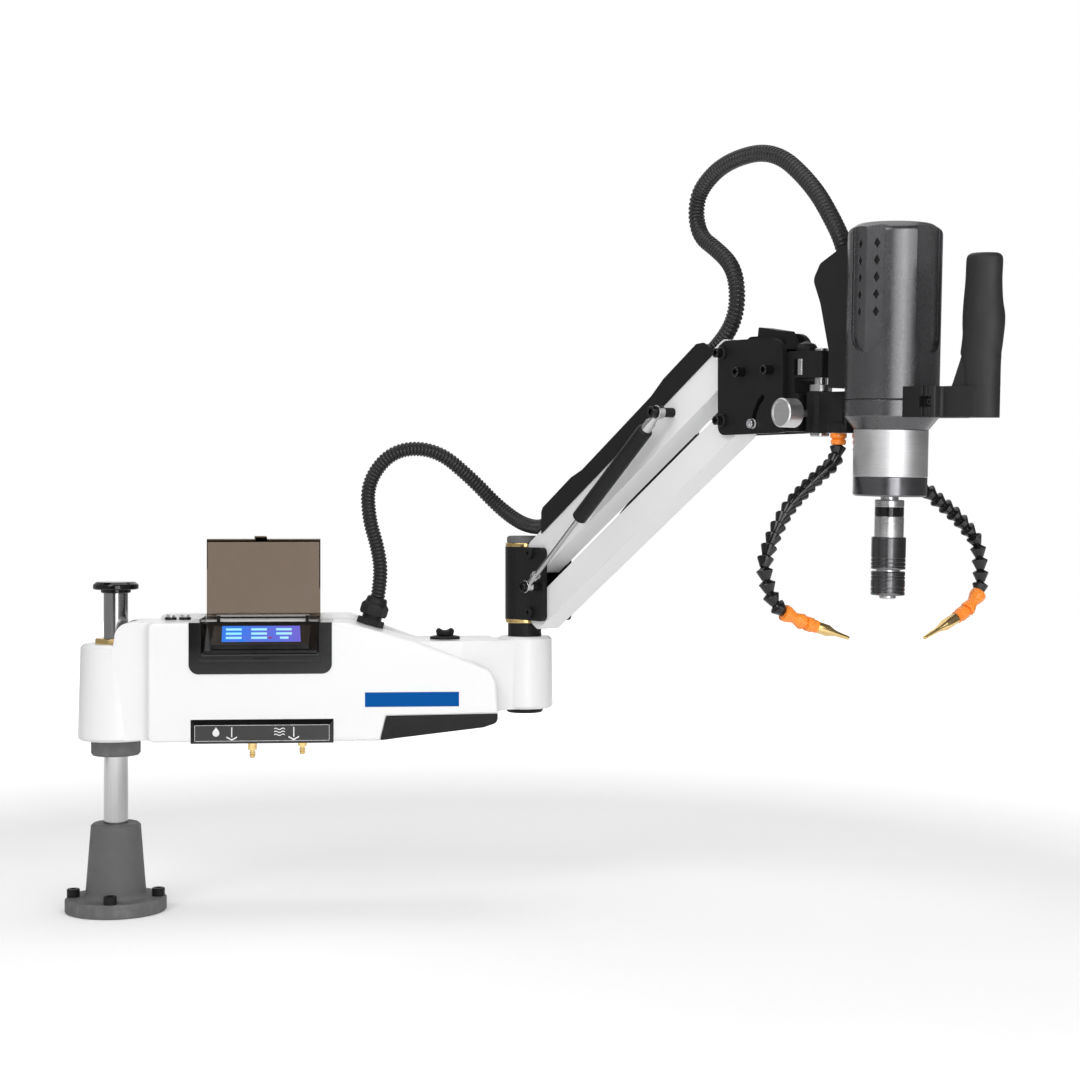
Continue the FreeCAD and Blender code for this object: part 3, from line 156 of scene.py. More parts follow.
# ---------------------------------------------------------------- conduits
CONDUIT_R = 9.25 * MM
CORRUGATION = 4.6 * MM
STEPS_PER_WAVE = 6
VALLEY = 0.865                # radius in the valleys, as a share of the crests'
CONDUIT_SIDES = 36
LOWER_ROUTE = [on_arm(*p) for p in (
    (325.6, 10, 386.3), (330.8, 10, 416), (326.5, 10, 450), (314.5, 10, 490),
    (313.5, 10.5, 537), (347, 13, 577), (401, 19, 577), (447, 24, 538), (478, 21, 505),
    (503, 4, 485), (519, -14, 478.5), (531, -33.5, 478), (541, -49, 485), (549.2, -62.7, 494.8))]
UPPER_ROUTE = [on_forearm(x, 0, z) for x, z in (
    (368, 676.6), (393.5, 692.3), (411.8, 719.4), (411.8, 752), (401, 773.5), (376, 792),
    (348.7, 808.2), (339.7, 836), (348.7, 863.8), (395.4, 888.1), (473.1, 889.6),
    (533.9, 843.3), (568, 797.5), (583, 770), (588, 745))]


def spline_line(points):
    """Points along the smooth spline that these control points draw."""
    data = bpy.data.curves.new("route", "CURVE")
    data.dimensions = "3D"
    spline = data.splines.new("NURBS")
    spline.points.add(len(points) - 1)
    for point, place in zip(spline.points, points):
        point.co = (*place, 1)
    spline.order_u = 3
    spline.use_endpoint_u = True
    spline.resolution_u = 24
    holder = bpy.data.objects.new("route", data)
    bpy.context.collection.objects.link(holder)
    graph = bpy.context.evaluated_depsgraph_get()
    mesh = bpy.data.meshes.new_from_object(holder.evaluated_get(graph))
    line = [vertex.co.copy() for vertex in mesh.vertices]
    bpy.data.objects.remove(holder)
    bpy.data.meshes.remove(mesh)
    return line


def even_line(line, step):
    """The same line with a point at each step of length."""
    total = sum((b - a).length for a, b in zip(line, line[1:]))
    count = max(2, int(round(total / step)))
    step = total / count
    out = [line[0].copy()]
    travelled, wanted = 0.0, step
    for a, b in zip(line, line[1:]):
        run = (b - a).length
        while wanted <= travelled + run + 1e-9 and len(out) < count:
            out.append(a.lerp(b, (wanted - travelled) / run))
            wanted += step
        travelled += run
    out.append(line[-1].copy())
    return out


def corrugated(name, line, first, last):
    """Corrugated conduit along part of an evenly spaced line."""
    part = line[first:last + 1]
    radii = []
    for i in range(first, last + 1):
        wave = 0.5 + 0.5 * math.cos(2 * math.pi * (i % STEPS_PER_WAVE) / STEPS_PER_WAVE)
        radii.append(CONDUIT_R * (VALLEY + (1 - VALLEY) * min(1.0, wave * 1.35)))
    return sweep(name, part, radii, CONDUIT_SIDES)


def nearest(line, place):
    """Index of the line's point that is nearest to a place."""
    return min(range(len(line)), key=lambda i: (line[i] - place).length)


def conduit(name, route, split_at, split_first):
    """Conduit in two spans that meet at a point.

    split_first says that the shorter one comes first along the route.
    """
    line = even_line(spline_line(route), CORRUGATION / STEPS_PER_WAVE)
    split = nearest(line, split_at)
    if split_first:
        tail = corrugated(name + "_tail", line, 0, split)
        span = corrugated(name + "_span", line, split, len(line) - 1)
        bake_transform(tail)
        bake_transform(span)
    else:
        span = corrugated(name + "_span", line, 0, split)
        tail = corrugated(name + "_tail", line, split, len(line) - 1)
        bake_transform(span)
        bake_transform(tail)
    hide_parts(name)
    for piece in (span, tail):
        piece.data.materials.append(material("conduit"))


def conduits():
    over_elbow = on_arm(513, -8, 481)
    over_plates = on_forearm(406, 0, 710)
    conduit("lower_conduit", LOWER_ROUTE, over_elbow,
            split_first=False)
    conduit("upper_conduit", UPPER_ROUTE, over_plates,
            split_first=True)


# ---------------------------------------------------------------- materials
class Nodes:
    """Short way to build a shader tree."""

    def __init__(self, name):
        self.mat = bpy.data.materials.new(name)
        self.mat.use_nodes = True
        self.tree = self.mat.node_tree
        self.tree.nodes.clear()
        self.out = self.tree.nodes.new("ShaderNodeOutputMaterial")
        self.coord = self.tree.nodes.new("ShaderNodeTexCoord").outputs["Object"]

    def add(self, kind, inputs=None, **settings):
        node = self.tree.nodes.new("ShaderNode" + kind)
        for key, value in settings.items():
            setattr(node, key, value)
        for key, value in (inputs or {}).items():
            self.put(node.inputs[key], value)
        return node

    def put(self, socket, value):
        if isinstance(value, bpy.types.NodeSocket):
            self.tree.links.new(value, socket)
        else:
            socket.default_value = value

    def noise(self, scale, detail=3.0, stretch=(1, 1, 1), rough=0.6):
        mapped = self.add("Mapping", {"Vector": self.coord, "Scale": stretch})
        return self.add("TexNoise", {"Vector": mapped.outputs[0], "Scale": scale,
                                     "Detail": detail, "Roughness": rough}).outputs["Fac"]

    def ramp(self, value, low, high, to_low=0.0, to_high=1.0):
        return self.add("MapRange", {"Value": value, "From Min": low, "From Max": high,
                                     "To Min": to_low, "To Max": to_high}).outputs["Result"]

    def mix(self, fac, a, b):
        node = self.add("Mix", data_type="RGBA")
        self.put(node.inputs["Factor"], fac)
        self.put(node.inputs["A"], a)
        self.put(node.inputs["B"], b)
        return node.outputs["Result"]

    def edges(self):
        """1 on worn outer edges, broken up by noise."""
        point = self.add("NewGeometry").outputs["Pointiness"]
        edge = self.ramp(point, 0.52, 0.62)
        return self.add("Math", {0: edge, 1: self.ramp(self.noise(90), 0.45, 0.7)},
                        operation="MULTIPLY").outputs[0]

    def bump(self, height, strength, distance, normal=None):
        inputs = {"Height": height, "Strength": strength, "Distance": distance}
        if normal is not None:
            inputs["Normal"] = normal
        return self.add("Bump", inputs).outputs["Normal"]

    def rounded(self, radius):
        return self.add("Bevel", {"Radius": radius}, samples=4).outputs["Normal"]

    def surface(self, shader):
        self.tree.links.new(shader, self.out.inputs["Surface"])
        return self.mat


def rgba(r, g, b):
    return (r, g, b, 1.0)


def finish_of(name, colour, shade, rough, metallic=0.0, coat=0.0, grain=900.0, grain_depth=0.02,
              spread=0.08, wear=None, edge=0.0006, specular=0.5):
    """Surface with uneven colour and roughness, a fine grain and slightly worn edges."""
    n = Nodes(name)
    patches = n.noise(14, 4)
    base = n.mix(n.ramp(patches, 0.35, 0.68), colour, shade)
    if wear is not None:
        base = n.mix(n.edges(), base, wear)
    smudge = n.noise(35, 5)
    roughness = n.ramp(smudge, 0.3, 0.7, rough - spread, rough + spread)
    normal = n.bump(n.noise(grain, 2), grain_depth, 0.0004, n.rounded(edge) if edge else None)
    shader = n.add("BsdfPrincipled", {"Base Color": base, "Roughness": roughness, "Metallic": metallic,
                                      "Normal": normal, "Specular IOR Level": specular,
                                      "Coat Weight": coat, "Coat Roughness": 0.12})
    return n.surface(shader.outputs[0])


def white_paint():
    return finish_of("white_paint", rgba(0.80, 0.80, 0.80), rgba(0.793, 0.793, 0.794), 0.30, coat=0.3,
                     grain=500, grain_depth=0.003, spread=0.01, edge=0.0012, specular=0.4)


def black_coat():
    return finish_of("black_coat", rgba(0.0105, 0.0105, 0.011), rgba(0.013, 0.013, 0.0135), 0.40,
                     grain=1100, grain_depth=0.12, spread=0.05, specular=0.16)


def black_gloss():
    return finish_of("black_gloss", rgba(0.004, 0.004, 0.0045), rgba(0.006, 0.006, 0.0065), 0.13,
                     grain=300, grain_depth=0.012, spread=0.04, coat=0.3, specular=0.35)


def black_grain():
    return finish_of("black_grain", rgba(0.008, 0.008, 0.0085), rgba(0.012, 0.012, 0.0125), 0.5,
                     grain=1500, grain_depth=0.45, spread=0.05, specular=0.25)


def grip_rubber():
    return finish_of("grip_rubber", rgba(0.013, 0.013, 0.0135), rgba(0.018, 0.018, 0.0185), 0.52,
                     grain=1700, grain_depth=0.35, spread=0.04, specular=0.35)


def cast_dark():
    return finish_of("cast_dark", rgba(0.112, 0.112, 0.114), rgba(0.137, 0.137, 0.139), 0.62,
                     grain=700, grain_depth=0.9, wear=rgba(0.20, 0.20, 0.20), specular=0.3)


def motor_paint():
    """Dark metallic paint with fine flakes."""
    n = Nodes("motor_paint")
    flakes = n.add("TexVoronoi", {"Vector": n.coord, "Scale": 2600.0}).outputs["Distance"]
    patches = n.noise(9, 3, (1, 1, 0.3))
    base = n.mix(n.ramp(patches, 0.35, 0.7), rgba(0.098, 0.098, 0.102), rgba(0.112, 0.112, 0.116))
    base = n.mix(n.ramp(flakes, 0.1, 0.5, 0.35, 0.0), base, rgba(0.30, 0.30, 0.32))
    rough = n.ramp(n.noise(40, 4), 0.3, 0.7, 0.23, 0.30)
    normal = n.bump(n.noise(1300, 2), 0.25, 0.0003, n.rounded(0.0008))
    shader = n.add("BsdfPrincipled", {"Base Color": base, "Metallic": 0.8, "Roughness": rough,
                                      "Normal": normal, "Specular IOR Level": 0.3})
    return n.surface(shader.outputs[0])


def darker(colour, share):
    return rgba(*(share * c for c in colour[:3]))


def turned_metal(name, colour, rough, line_scale=2200.0, depth=0.12, spread=0.08):
    """Machined metal with fine lines round a vertical axis."""
    n = Nodes(name)
    lines = n.noise(line_scale, 2, (0.02, 0.02, 1))
    smudge = n.noise(25, 4)
    tone = n.mix(n.ramp(lines, 0.3, 0.7), colour, darker(colour, 0.86))
    tone = n.mix(n.ramp(smudge, 0.55, 0.8, 0.0, 0.25), tone, darker(colour, 0.7))
    roughness = n.ramp(smudge, 0.3, 0.7, rough - spread, rough + spread)
    normal = n.bump(lines, depth, 0.0002, n.rounded(0.0004))
    shader = n.add("BsdfPrincipled", {"Base Color": tone, "Metallic": 1.0, "Roughness": roughness,
                                      "Normal": normal, "Anisotropic": 0.4})
    return n.surface(shader.outputs[0])


def conduit_plastic():
    return finish_of("conduit", rgba(0.017, 0.017, 0.0175), rgba(0.022, 0.022, 0.0225), 0.36,
                     grain=800, grain_depth=0.04, edge=0, specular=0.35)


def hose_black():
    return finish_of("hose_black", rgba(0.006, 0.006, 0.0065), rgba(0.009, 0.009, 0.0095), 0.16,
                     grain=900, grain_depth=0.02, spread=0.04, edge=0, specular=0.4)


def hose_orange():
    return finish_of("hose_orange", rgba(0.94, 0.26, 0.028), rgba(0.92, 0.25, 0.026), 0.30,
                     grain=600, grain_depth=0.006, spread=0.03, edge=0)


def tinted_lid():
    """Brown see-through plastic with dust and a faint gloss."""
    n = Nodes("tinted_lid")
    dust = n.noise(220, 6)
    tint = n.mix(n.ramp(dust, 0.4, 0.75), rgba(0.485, 0.425, 0.372), rgba(0.46, 0.41, 0.365))
    clear = n.add("BsdfTransparent", {"Color": tint})
    rough = n.ramp(n.noise(30, 4), 0.3, 0.7, 0.05, 0.12)
    gloss = n.add("BsdfGlossy", {"Color": rgba(0.9, 0.9, 0.9), "Roughness": rough,
                                 "Normal": n.bump(n.noise(15, 2), 0.02, 0.001)})
    fresnel = n.ramp(dust, 0.3, 0.8, 0.03, 0.06)
    shader = n.add("MixShader", {0: fresnel, 1: clear.outputs[0], 2: gloss.outputs[0]})
    return n.surface(shader.outputs[0])


def blue_plate():
    return finish_of("blue_plate", rgba(0.0005, 0.078, 0.305), rgba(0.001, 0.083, 0.315), 0.40,
                     grain=500, grain_depth=0.01, edge=0.0002, specular=0.04)


# bright metal of the relief marks, also used for the painted highlight strips round the port plate's
# bevel
def bright_mark_and_highlight():
    return finish_of("bright_mark_and_highlight", rgba(0.75, 0.75, 0.76), rgba(0.68, 0.68, 0.69), 0.3,
                     metallic=0.6, grain=700, grain_depth=0.1, edge=0.0002)


def button_silver():
    return finish_of("button_silver", rgba(0.60, 0.60, 0.60), rgba(0.66, 0.66, 0.66), 0.24,
                     metallic=0.7)


DISPLAY_X = (0.132, 0.232)    # in metres, as the shader has it


def screen_glow(name, low, high, strength):
    """Lit part of the display, with a slow change of colour across it."""
    n = Nodes(name)
    across = n.add("SeparateXYZ", {"Vector": n.coord}).outputs["X"]
    blend = n.ramp(across, *DISPLAY_X)
    cloud = n.ramp(n.noise(60, 3), 0.35, 0.65, -0.25, 0.25)
    fac = n.add("Math", {0: blend, 1: cloud}, operation="ADD", use_clamp=True).outputs[0]
    colour = n.mix(fac, low, high)
    glow = n.add("Emission", {"Color": colour, "Strength": strength})
    cover = n.add("BsdfGlossy", {"Color": rgba(1, 1, 1), "Roughness": n.ramp(n.noise(50), 0.3, 0.7,
                                                                            0.06, 0.14)})
    shader = n.add("MixShader", {0: 0.04, 1: glow.outputs[0], 2: cover.outputs[0]})
    return n.surface(shader.outputs[0])


def brass():
    return turned_metal("brass", rgba(0.83, 0.60, 0.26), 0.24)


def column_steel():
    """Bright steel with fine lines along a vertical axis."""
    n = Nodes("column_steel")
    drawn = n.noise(700, 3, (1, 1, 0.004))
    tone = n.mix(n.ramp(drawn, 0.3, 0.7), rgba(0.40, 0.40, 0.405), rgba(0.47, 0.47, 0.475))
    rough = n.ramp(n.noise(30, 4, (1, 1, 0.2)), 0.3, 0.7, 0.09, 0.16)
    shader = n.add("BsdfPrincipled", {"Base Color": tone, "Metallic": 1.0, "Roughness": rough,
                                      "Normal": n.rounded(0.0004)})
    return n.surface(shader.outputs[0])


def bare_aluminium():
    return turned_metal("bare_aluminium", rgba(0.68, 0.68, 0.69), 0.40, 2600, 0.16)


def machined_steel():
    return turned_metal("machined_steel", rgba(0.60, 0.60, 0.61), 0.26, 1800, 0.12)


def zinc():
    return turned_metal("zinc", rgba(0.66, 0.66, 0.68), 0.28, 1500, 0.1)


def chuck_black():
    return turned_metal("chuck_black", rgba(0.13, 0.13, 0.135), 0.22, 1700, 0.05, 0.03)


def nose_metal():
    return turned_metal("nose_metal", rgba(0.19, 0.19, 0.20), 0.24, 1700, 0.06, 0.04)


def wall_tone(name, tone):
    """Evenly grey face of a studio wall."""
    n = Nodes(name)
    slow = n.ramp(n.noise(1.5, 2), 0.3, 0.7, tone * 0.95, tone * 1.05)
    return n.surface(n.add("Emission", {"Color": rgba(1, 1, 1), "Strength": slow}).outputs[0])


def wall_black():
    return wall_tone("wall_black", 0.008)


def wall_dark():
    return wall_tone("wall_dark", 0.19)


def wall_grey():
    return wall_tone("wall_grey", 0.36)


MAKERS = {"white": white_paint, "black_coat": black_coat, "black_gloss": black_gloss,
          "black_grain": black_grain, "cast_dark": cast_dark, "motor": motor_paint,
          "conduit": conduit_plastic, "hose_black": hose_black, "hose_orange": hose_orange,
          "lid": tinted_lid, "blue": blue_plate, "mark": bright_mark_and_highlight, "brass": brass,
          "column": column_steel, "aluminium": bare_aluminium, "steel": machined_steel,
          "zinc": zinc, "grip": grip_rubber, "button": button_silver, "chuck": chuck_black,
          "nose": nose_metal,
          "wall_black": wall_black, "wall_dark": wall_dark, "wall_grey": wall_grey}
made = {}


def material(name):
    """Material of a short name, made when it is first asked for."""
    if name not in made:
        made[name] = MAKERS[name]()
    return made[name]


NODE_MATERIALS = {
    "cast_dark": ("base_flange", "height_collar", "elbow_cap"),
    "black_coat": ("base_bolts", "elbow_sleeve", "elbow_pins", "cable_tray", "head_plate_near",
                   "head_plate_far", "head_spacer", "head_pins", "tilt_block", "head_bracket",
                   "spring_cylinders", "post_foot", "elbow_post", "coolant_manifold"),
    "black_grain": ("nose_insert", "handle_clamp", "cable_cover", "lock_knob", "lock_knob_base",
                    "cable_gland"),
    "grip": ("handle_arm", "handle_grip"),
    "black_gloss": ("display_console", "display_bezel", "display_screen", "port_plate",
                    "button_collars", "column_cap", "lid_hinge_pin"),
    "nose": ("nose_ring",),
    "white": ("arm_casting", "front_cover", "rear_cover", "upper_link", "lower_link"),
    "motor": ("motor_cover", "gearbox_housing"),
    "brass": ("column_bushes", "elbow_bushes", "service_ports"),
    "column": ("column", "spring_rod_near", "spring_rod_far"),
    "aluminium": ("spindle_barrel", "swivel_knob"),
    "steel": ("spindle", "swivel_pin"),
    "zinc": ("slot_screws",),
    "lid": ("screen_lid",),
    "button": ("start_button", "stop_button"),
}


def paint_nodes():
    """Materials of the pieces that are shown as the frame has them."""
    for name, nodes in NODE_MATERIALS.items():
        for node in nodes:
            piece = frame["nodes"][node]
            piece.data.materials.clear()
            piece.data.materials.append(material(name))


# ---------------------------------------------------------------- turned and flat pieces
def lathe(name, profile, place, sides=72):
    """Profile of (radius, height) in millimetres turned about an axis; place maps to the row frame."""
    mesh = bmesh.new()
    rings = [ring_of(mesh, sides, lambda a, b: place(radius * a, radius * b, height))
             for radius, height in profile]
    skin(mesh, rings)
    bmesh.ops.recalc_face_normals(mesh, faces=mesh.faces)
    return finish_mesh(name, mesh)


def plate(name, outline, place, low, high, look, body, slot):
    """Thin plate of a flat outline in millimetres; place maps (a, b, height) to the row frame."""
    mesh = bmesh.new()
    bottom = [mesh.verts.new(place(a, b, low)) for a, b in outline]
    top = [mesh.verts.new(place(a, b, high)) for a, b in outline]
    mesh.faces.new(bottom)
    mesh.faces.new(top)
    for k in range(len(outline)):
        following = (k + 1) % len(outline)
        mesh.faces.new((bottom[k], bottom[following], top[following], top[k]))
    bmesh.ops.recalc_face_normals(mesh, faces=mesh.faces)
    piece = finish_mesh(name, mesh, smooth=False)
    piece.data.materials.append(look)
    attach(piece, body)
    return piece


def rectangle(a0, a1, b0, b1):
    return [(a0, b0), (a1, b0), (a1, b1), (a0, b1)]


FRONT_Y = -62.0
LABEL = (310.8, 426.6, 257.2, 275.2)
LABEL_THICKNESS = 0.25


def on_front(x, z, out):
    """Point on the front cover's face."""
    return on_arm(x, FRONT_Y - out, z)


def front_label():
    plate("blue_label", rectangle(*LABEL), on_front, 0.0, LABEL_THICKNESS, material("blue"),
          "main_arm", "white_cover")


PORTS_Y = -66.0
PORT_FACE = (103.5, 267.5, 217.0, 236.6)
# width of the bright strips round the port face, a painted highlight of its bevel
PORT_HIGHLIGHT_WIDTH = 0.5
RELIEF = 0.3
ARROWS_X = (148.6, 224.0)
ARROW_HEAD = ((0, 217.6), (6.4, 221.2), (6.4, 222.9), (0, 219.6), (-6.4, 222.9), (-6.4, 221.2))
SHAFT = (-0.7, 0.7, 222.0, 234.0)
DROP_TOP = (129.5, 234.4)
DROP_MIDDLE = (129.5, 227.0)
DROP_R = 4.2
WAVE_START = (200.0, 224.5)   # left end of the lowest wave
WAVE_PITCH = 3.6
WAVE_STEP = 1.1
WAVE_HEIGHT = 0.9
WAVE_HALF_WIDTH = 0.6


def on_ports(x, z, out):
    """Point on the port plate's face."""
    return on_arm(x, PORTS_Y - out, z)


def port_marks():
    """Arrows, a drop and air waves in relief on the port plate, and a painted highlight round its face's
    bevel.
    """
    look = material("mark")
    low_x, high_x, low_z, high_z = PORT_FACE
    # four thin bright strips round the face: a painted highlight of the bevel's edges
    for name, outline in (("foot", rectangle(low_x, high_x, low_z, low_z + PORT_HIGHLIGHT_WIDTH)),
                          ("top", rectangle(low_x, high_x, high_z - PORT_HIGHLIGHT_WIDTH, high_z)),
                          ("left", rectangle(low_x, low_x + PORT_HIGHLIGHT_WIDTH, low_z, high_z)),
                          ("right", rectangle(high_x - PORT_HIGHLIGHT_WIDTH, high_x, low_z, high_z))):
        plate("port_bevel_highlight_" + name, outline, on_ports, 0.0, 0.08, look, "main_arm", "zinc_steel")
    for k, x in enumerate(ARROWS_X):
        shaft = rectangle(x + SHAFT[0], x + SHAFT[1], *SHAFT[2:])
        plate("arrow_shaft_%d" % k, shaft, on_ports, 0.0, RELIEF, look, "main_arm", "zinc_steel")
        head = [(x + a, b) for a, b in ARROW_HEAD]
        plate("arrow_head_%d" % k, head, on_ports, 0.0, RELIEF, look, "main_arm", "zinc_steel")
    drop = [DROP_TOP]
    for k in range(13):
        angle = math.radians(30 - 240 * k / 12)
        drop.append((DROP_MIDDLE[0] + DROP_R * math.cos(angle),
                     DROP_MIDDLE[1] + DROP_R * math.sin(angle)))
    plate("oil_drop", drop, on_ports, 0.0, RELIEF, look, "main_arm", "zinc_steel")
    for row in range(3):
        line = [(WAVE_START[0] + WAVE_STEP * k,
                 WAVE_START[1] + WAVE_PITCH * row + WAVE_HEIGHT * math.sin(0.8 * k)) for k in range(13)]
        outline = ([(a, b + WAVE_HALF_WIDTH) for a, b in line]
                   + [(a, b - WAVE_HALF_WIDTH) for a, b in reversed(line)])
        plate("air_wave_%d" % row, outline, on_ports, 0.0, RELIEF, look, "main_arm", "zinc_steel")


LID_X = (111.4, 253.8)
LID_Y = 12.0
LID_TOP = 461.5
LID_STRIP = 459.0                   # foot of the dark strip along the top
LID_LEFT_EDGE = (112.4, 425.0)      # inner side and foot of the dark edge
LID_RIGHT_EDGE = (252.4, 400.0)
LID_TAB = (172.0, 187.0, 465.1)     # its sides and its top
LID_FOOT = (367.5, 368.6)
LID_HALF_THICKNESS = 1.19


def on_lid(x, z, out):
    """Point of the lid's middle plane."""
    return on_arm(x, LID_Y - out, z)


def lid_rim():
    """Dark top strip, side edges, tab and foot of the tinted lid."""
    look = material("black_gloss")
    left, right = LID_X
    for name, outline in (("top", rectangle(left, right, LID_STRIP, LID_TOP)),
                          ("left", rectangle(left, *LID_LEFT_EDGE, LID_STRIP)),
                          ("right", rectangle(LID_RIGHT_EDGE[0], right, LID_RIGHT_EDGE[1], LID_STRIP)),
                          ("tab", rectangle(*LID_TAB[:2], LID_STRIP, LID_TAB[2])),
                          ("foot", rectangle(left, right, *LID_FOOT))):
        plate("lid_" + name, outline, on_lid, -LID_HALF_THICKNESS, LID_HALF_THICKNESS, look,
              "screen_lid", "lid_plastic")


# the display: y, z of the foot and head of its glass, and outlines on the glass
GLASS_FOOT = (-56.5, 334.6)
GLASS_HEAD = (4.6, 357.4)
SIGHT_SLANT = 0.062           # sideways shift of the picture per millimetre up the glass
PICTURE_MIDDLE = 31.4


def on_glass(x, along, out):
    """Point on the sloped display glass."""
    run = Vector((GLASS_HEAD[0] - GLASS_FOOT[0], GLASS_HEAD[1] - GLASS_FOOT[1])).normalized()
    y = GLASS_FOOT[0] + run.x * along - run.y * out
    z = GLASS_FOOT[1] + run.y * along + run.x * out
    return on_arm(x, y, z)


def on_picture(x, along, out):
    """Point of the picture, which stands square to the line of sight."""
    return on_glass(x - SIGHT_SLANT * (along - PICTURE_MIDDLE), along, out)


PICTURE = (133.5, 230.3, 7.5, 55.4)
BAR_COLUMNS = (138.4, 169.6, 200.4)
BAR_ROWS = (44.8, 32.0, 19.3)
BAR_LENGTH = 19.4
BAR_HALF_HEIGHT = 3.2
SHORT_BAR = (204.9, 10.6)     # foot of the last column: its left end and its length
ALARM = (190.6, 194.9, 16.8, 21.0)
PICTURE_LEVEL = 0.12          # heights above the glass
BAR_LEVEL = 0.2


def display_picture():
    """Lit picture of the display: a ground, plain bars and one red mark."""
    back = screen_glow("screen_back", rgba(0.03, 0.22, 0.88), rgba(0.18, 0.15, 0.70), 1.0)
    bars = screen_glow("screen_bars", rgba(0.30, 0.82, 1.0), rgba(0.42, 0.80, 0.98), 1.15)
    alarm = screen_glow("screen_alarm", rgba(0.45, 0.04, 0.12), rgba(0.45, 0.04, 0.12), 0.8)
    plate("screen_picture", rectangle(*PICTURE), on_picture, 0.0, PICTURE_LEVEL, back,
          "main_arm", "screen_glass")
    for column, x in enumerate(BAR_COLUMNS):
        for row, along in enumerate(BAR_ROWS):
            length = BAR_LENGTH
            if column == 2 and row == 2:
                x, length = SHORT_BAR
            bar = rectangle(x, x + length, along - BAR_HALF_HEIGHT, along + BAR_HALF_HEIGHT)
            plate("screen_bar_%d_%d" % (column, row), bar, on_picture, PICTURE_LEVEL, BAR_LEVEL, bars,
                  "main_arm", "screen_glass")
    plate("screen_alarm", rectangle(*ALARM), on_picture, PICTURE_LEVEL, BAR_LEVEL, alarm,
          "main_arm", "screen_glass")


# ---------------------------------------------------------------- coolant hoses
HOSES = {
    "hose_left": ((586, -12.5, 571.5), (586.4, -14, 562), (588, -20, 553), (591, -34, 545.5),
                  (594, -64, 526), (599.5, -92, 506), (604.5, -113, 483), (609, -129, 458),
                  (611.5, -132, 445.5), (616, -127, 420.5), (619.5, -119, 408.5), (624, -100, 397.5),
                  (627, -83, 392), (634.6, -38.8, 377.8)),
    "hose_right": ((592, 12.5, 571.5), (592.4, 14, 562), (595, 20, 552), (608, 48, 541),
                   (622, 68, 532), (627, 82, 521), (630.5, 101, 508), (632, 116, 498),
                   (633.3, 129, 486), (634.7, 141, 475), (636, 145, 459), (638.5, 145, 443),
                   (640, 144, 427), (641.5, 135, 410), (644, 112, 397), (646.7, 55.4, 375.3)),
}
END_LENGTHS = {"hose_left": (24.0, 16.5, 40.5), "hose_right": (26.0, 19.0, 52.0)}
HOSE_PITCH = 12.8
BEAD_SIDES = 28


def smooth_through(points, step=8):
    """Catmull-Rom line through the points."""
    line = []
    for i in range(len(points) - 1):
        before = points[max(i - 1, 0)]
        after = points[min(i + 2, len(points) - 1)]
        a, b = points[i], points[i + 1]
        for k in range(step):
            t = k / step
            line.append(0.5 * (2 * a + (b - before) * t + (2 * before - 5 * a + 4 * b - after) * t * t
                               + (3 * a - before - 3 * b + after) * t ** 3))
    line.append(points[-1])
    return line


# one black segment: (radius, height)
SEGMENT = ((4.0, 0.0), (4.3, 0.5), (8.1, 2.7), (8.4, 3.3), (8.2, 4.0), (4.9, 11.4), (4.2, 12.8))
# orange end piece, its collar and the brass nozzle: (radius, share of the length)
WAIST = ((5.0, -0.04), (8.3, 0.0), (8.5, 0.10), (7.9, 0.24), (5.5, 0.52), (6.0, 0.64), (8.0, 0.90),
         (7.4, 1.0), (5.0, 1.02))
COLLAR = ((4.8, 0.0), (4.8, 0.16), (7.2, 0.24), (7.3, 0.30), (7.3, 0.62), (7.0, 0.68), (6.3, 0.70),
          (6.5, 0.98), (5.5, 1.0))
NOZZLE = ((5.4, 0.0), (5.9, 0.02), (5.9, 0.34), (5.5, 0.38), (3.6, 0.52), (2.9, 0.60), (2.0, 0.98),
          (1.7, 1.0), (1.0, 0.99))
# the nut at the foot: (radius, height)
NUT = ((4.5, 571.0), (7.0, 571.4), (7.8, 572.8), (7.8, 575.6), (6.2, 577.0), (8.4, 578.6),
       (8.4, 583.1), (3.9, 583.2))


def beads(name, places, profile, pitch):
    """Row of turned beads between neighbouring places, each stretched to its gap."""
    mesh = bmesh.new()
    for start, end in zip(places, places[1:]):
        axis = end - start
        turn = axis.to_track_quat("Z", "Y").to_matrix()
        rings = []
        for radius, height in profile:
            level = height * axis.length / pitch
            rings.append(ring_of(mesh, BEAD_SIDES, lambda a, b: on_head(
                *(start + turn @ Vector((radius * a, radius * b, level))))))
        skin(mesh, rings)
        close_ends(mesh, rings)
    return finish_mesh(name, mesh)


def place_at(line, length):
    """Point of a line at a length back from its end, and the line up to there."""
    left = length
    for i in range(len(line) - 1, 0, -1):
        run = (line[i] - line[i - 1]).length
        if run >= left:
            place = line[i].lerp(line[i - 1], left / run)
            return place, line[:i] + [place]
        left -= run
    return line[0], line[:1]


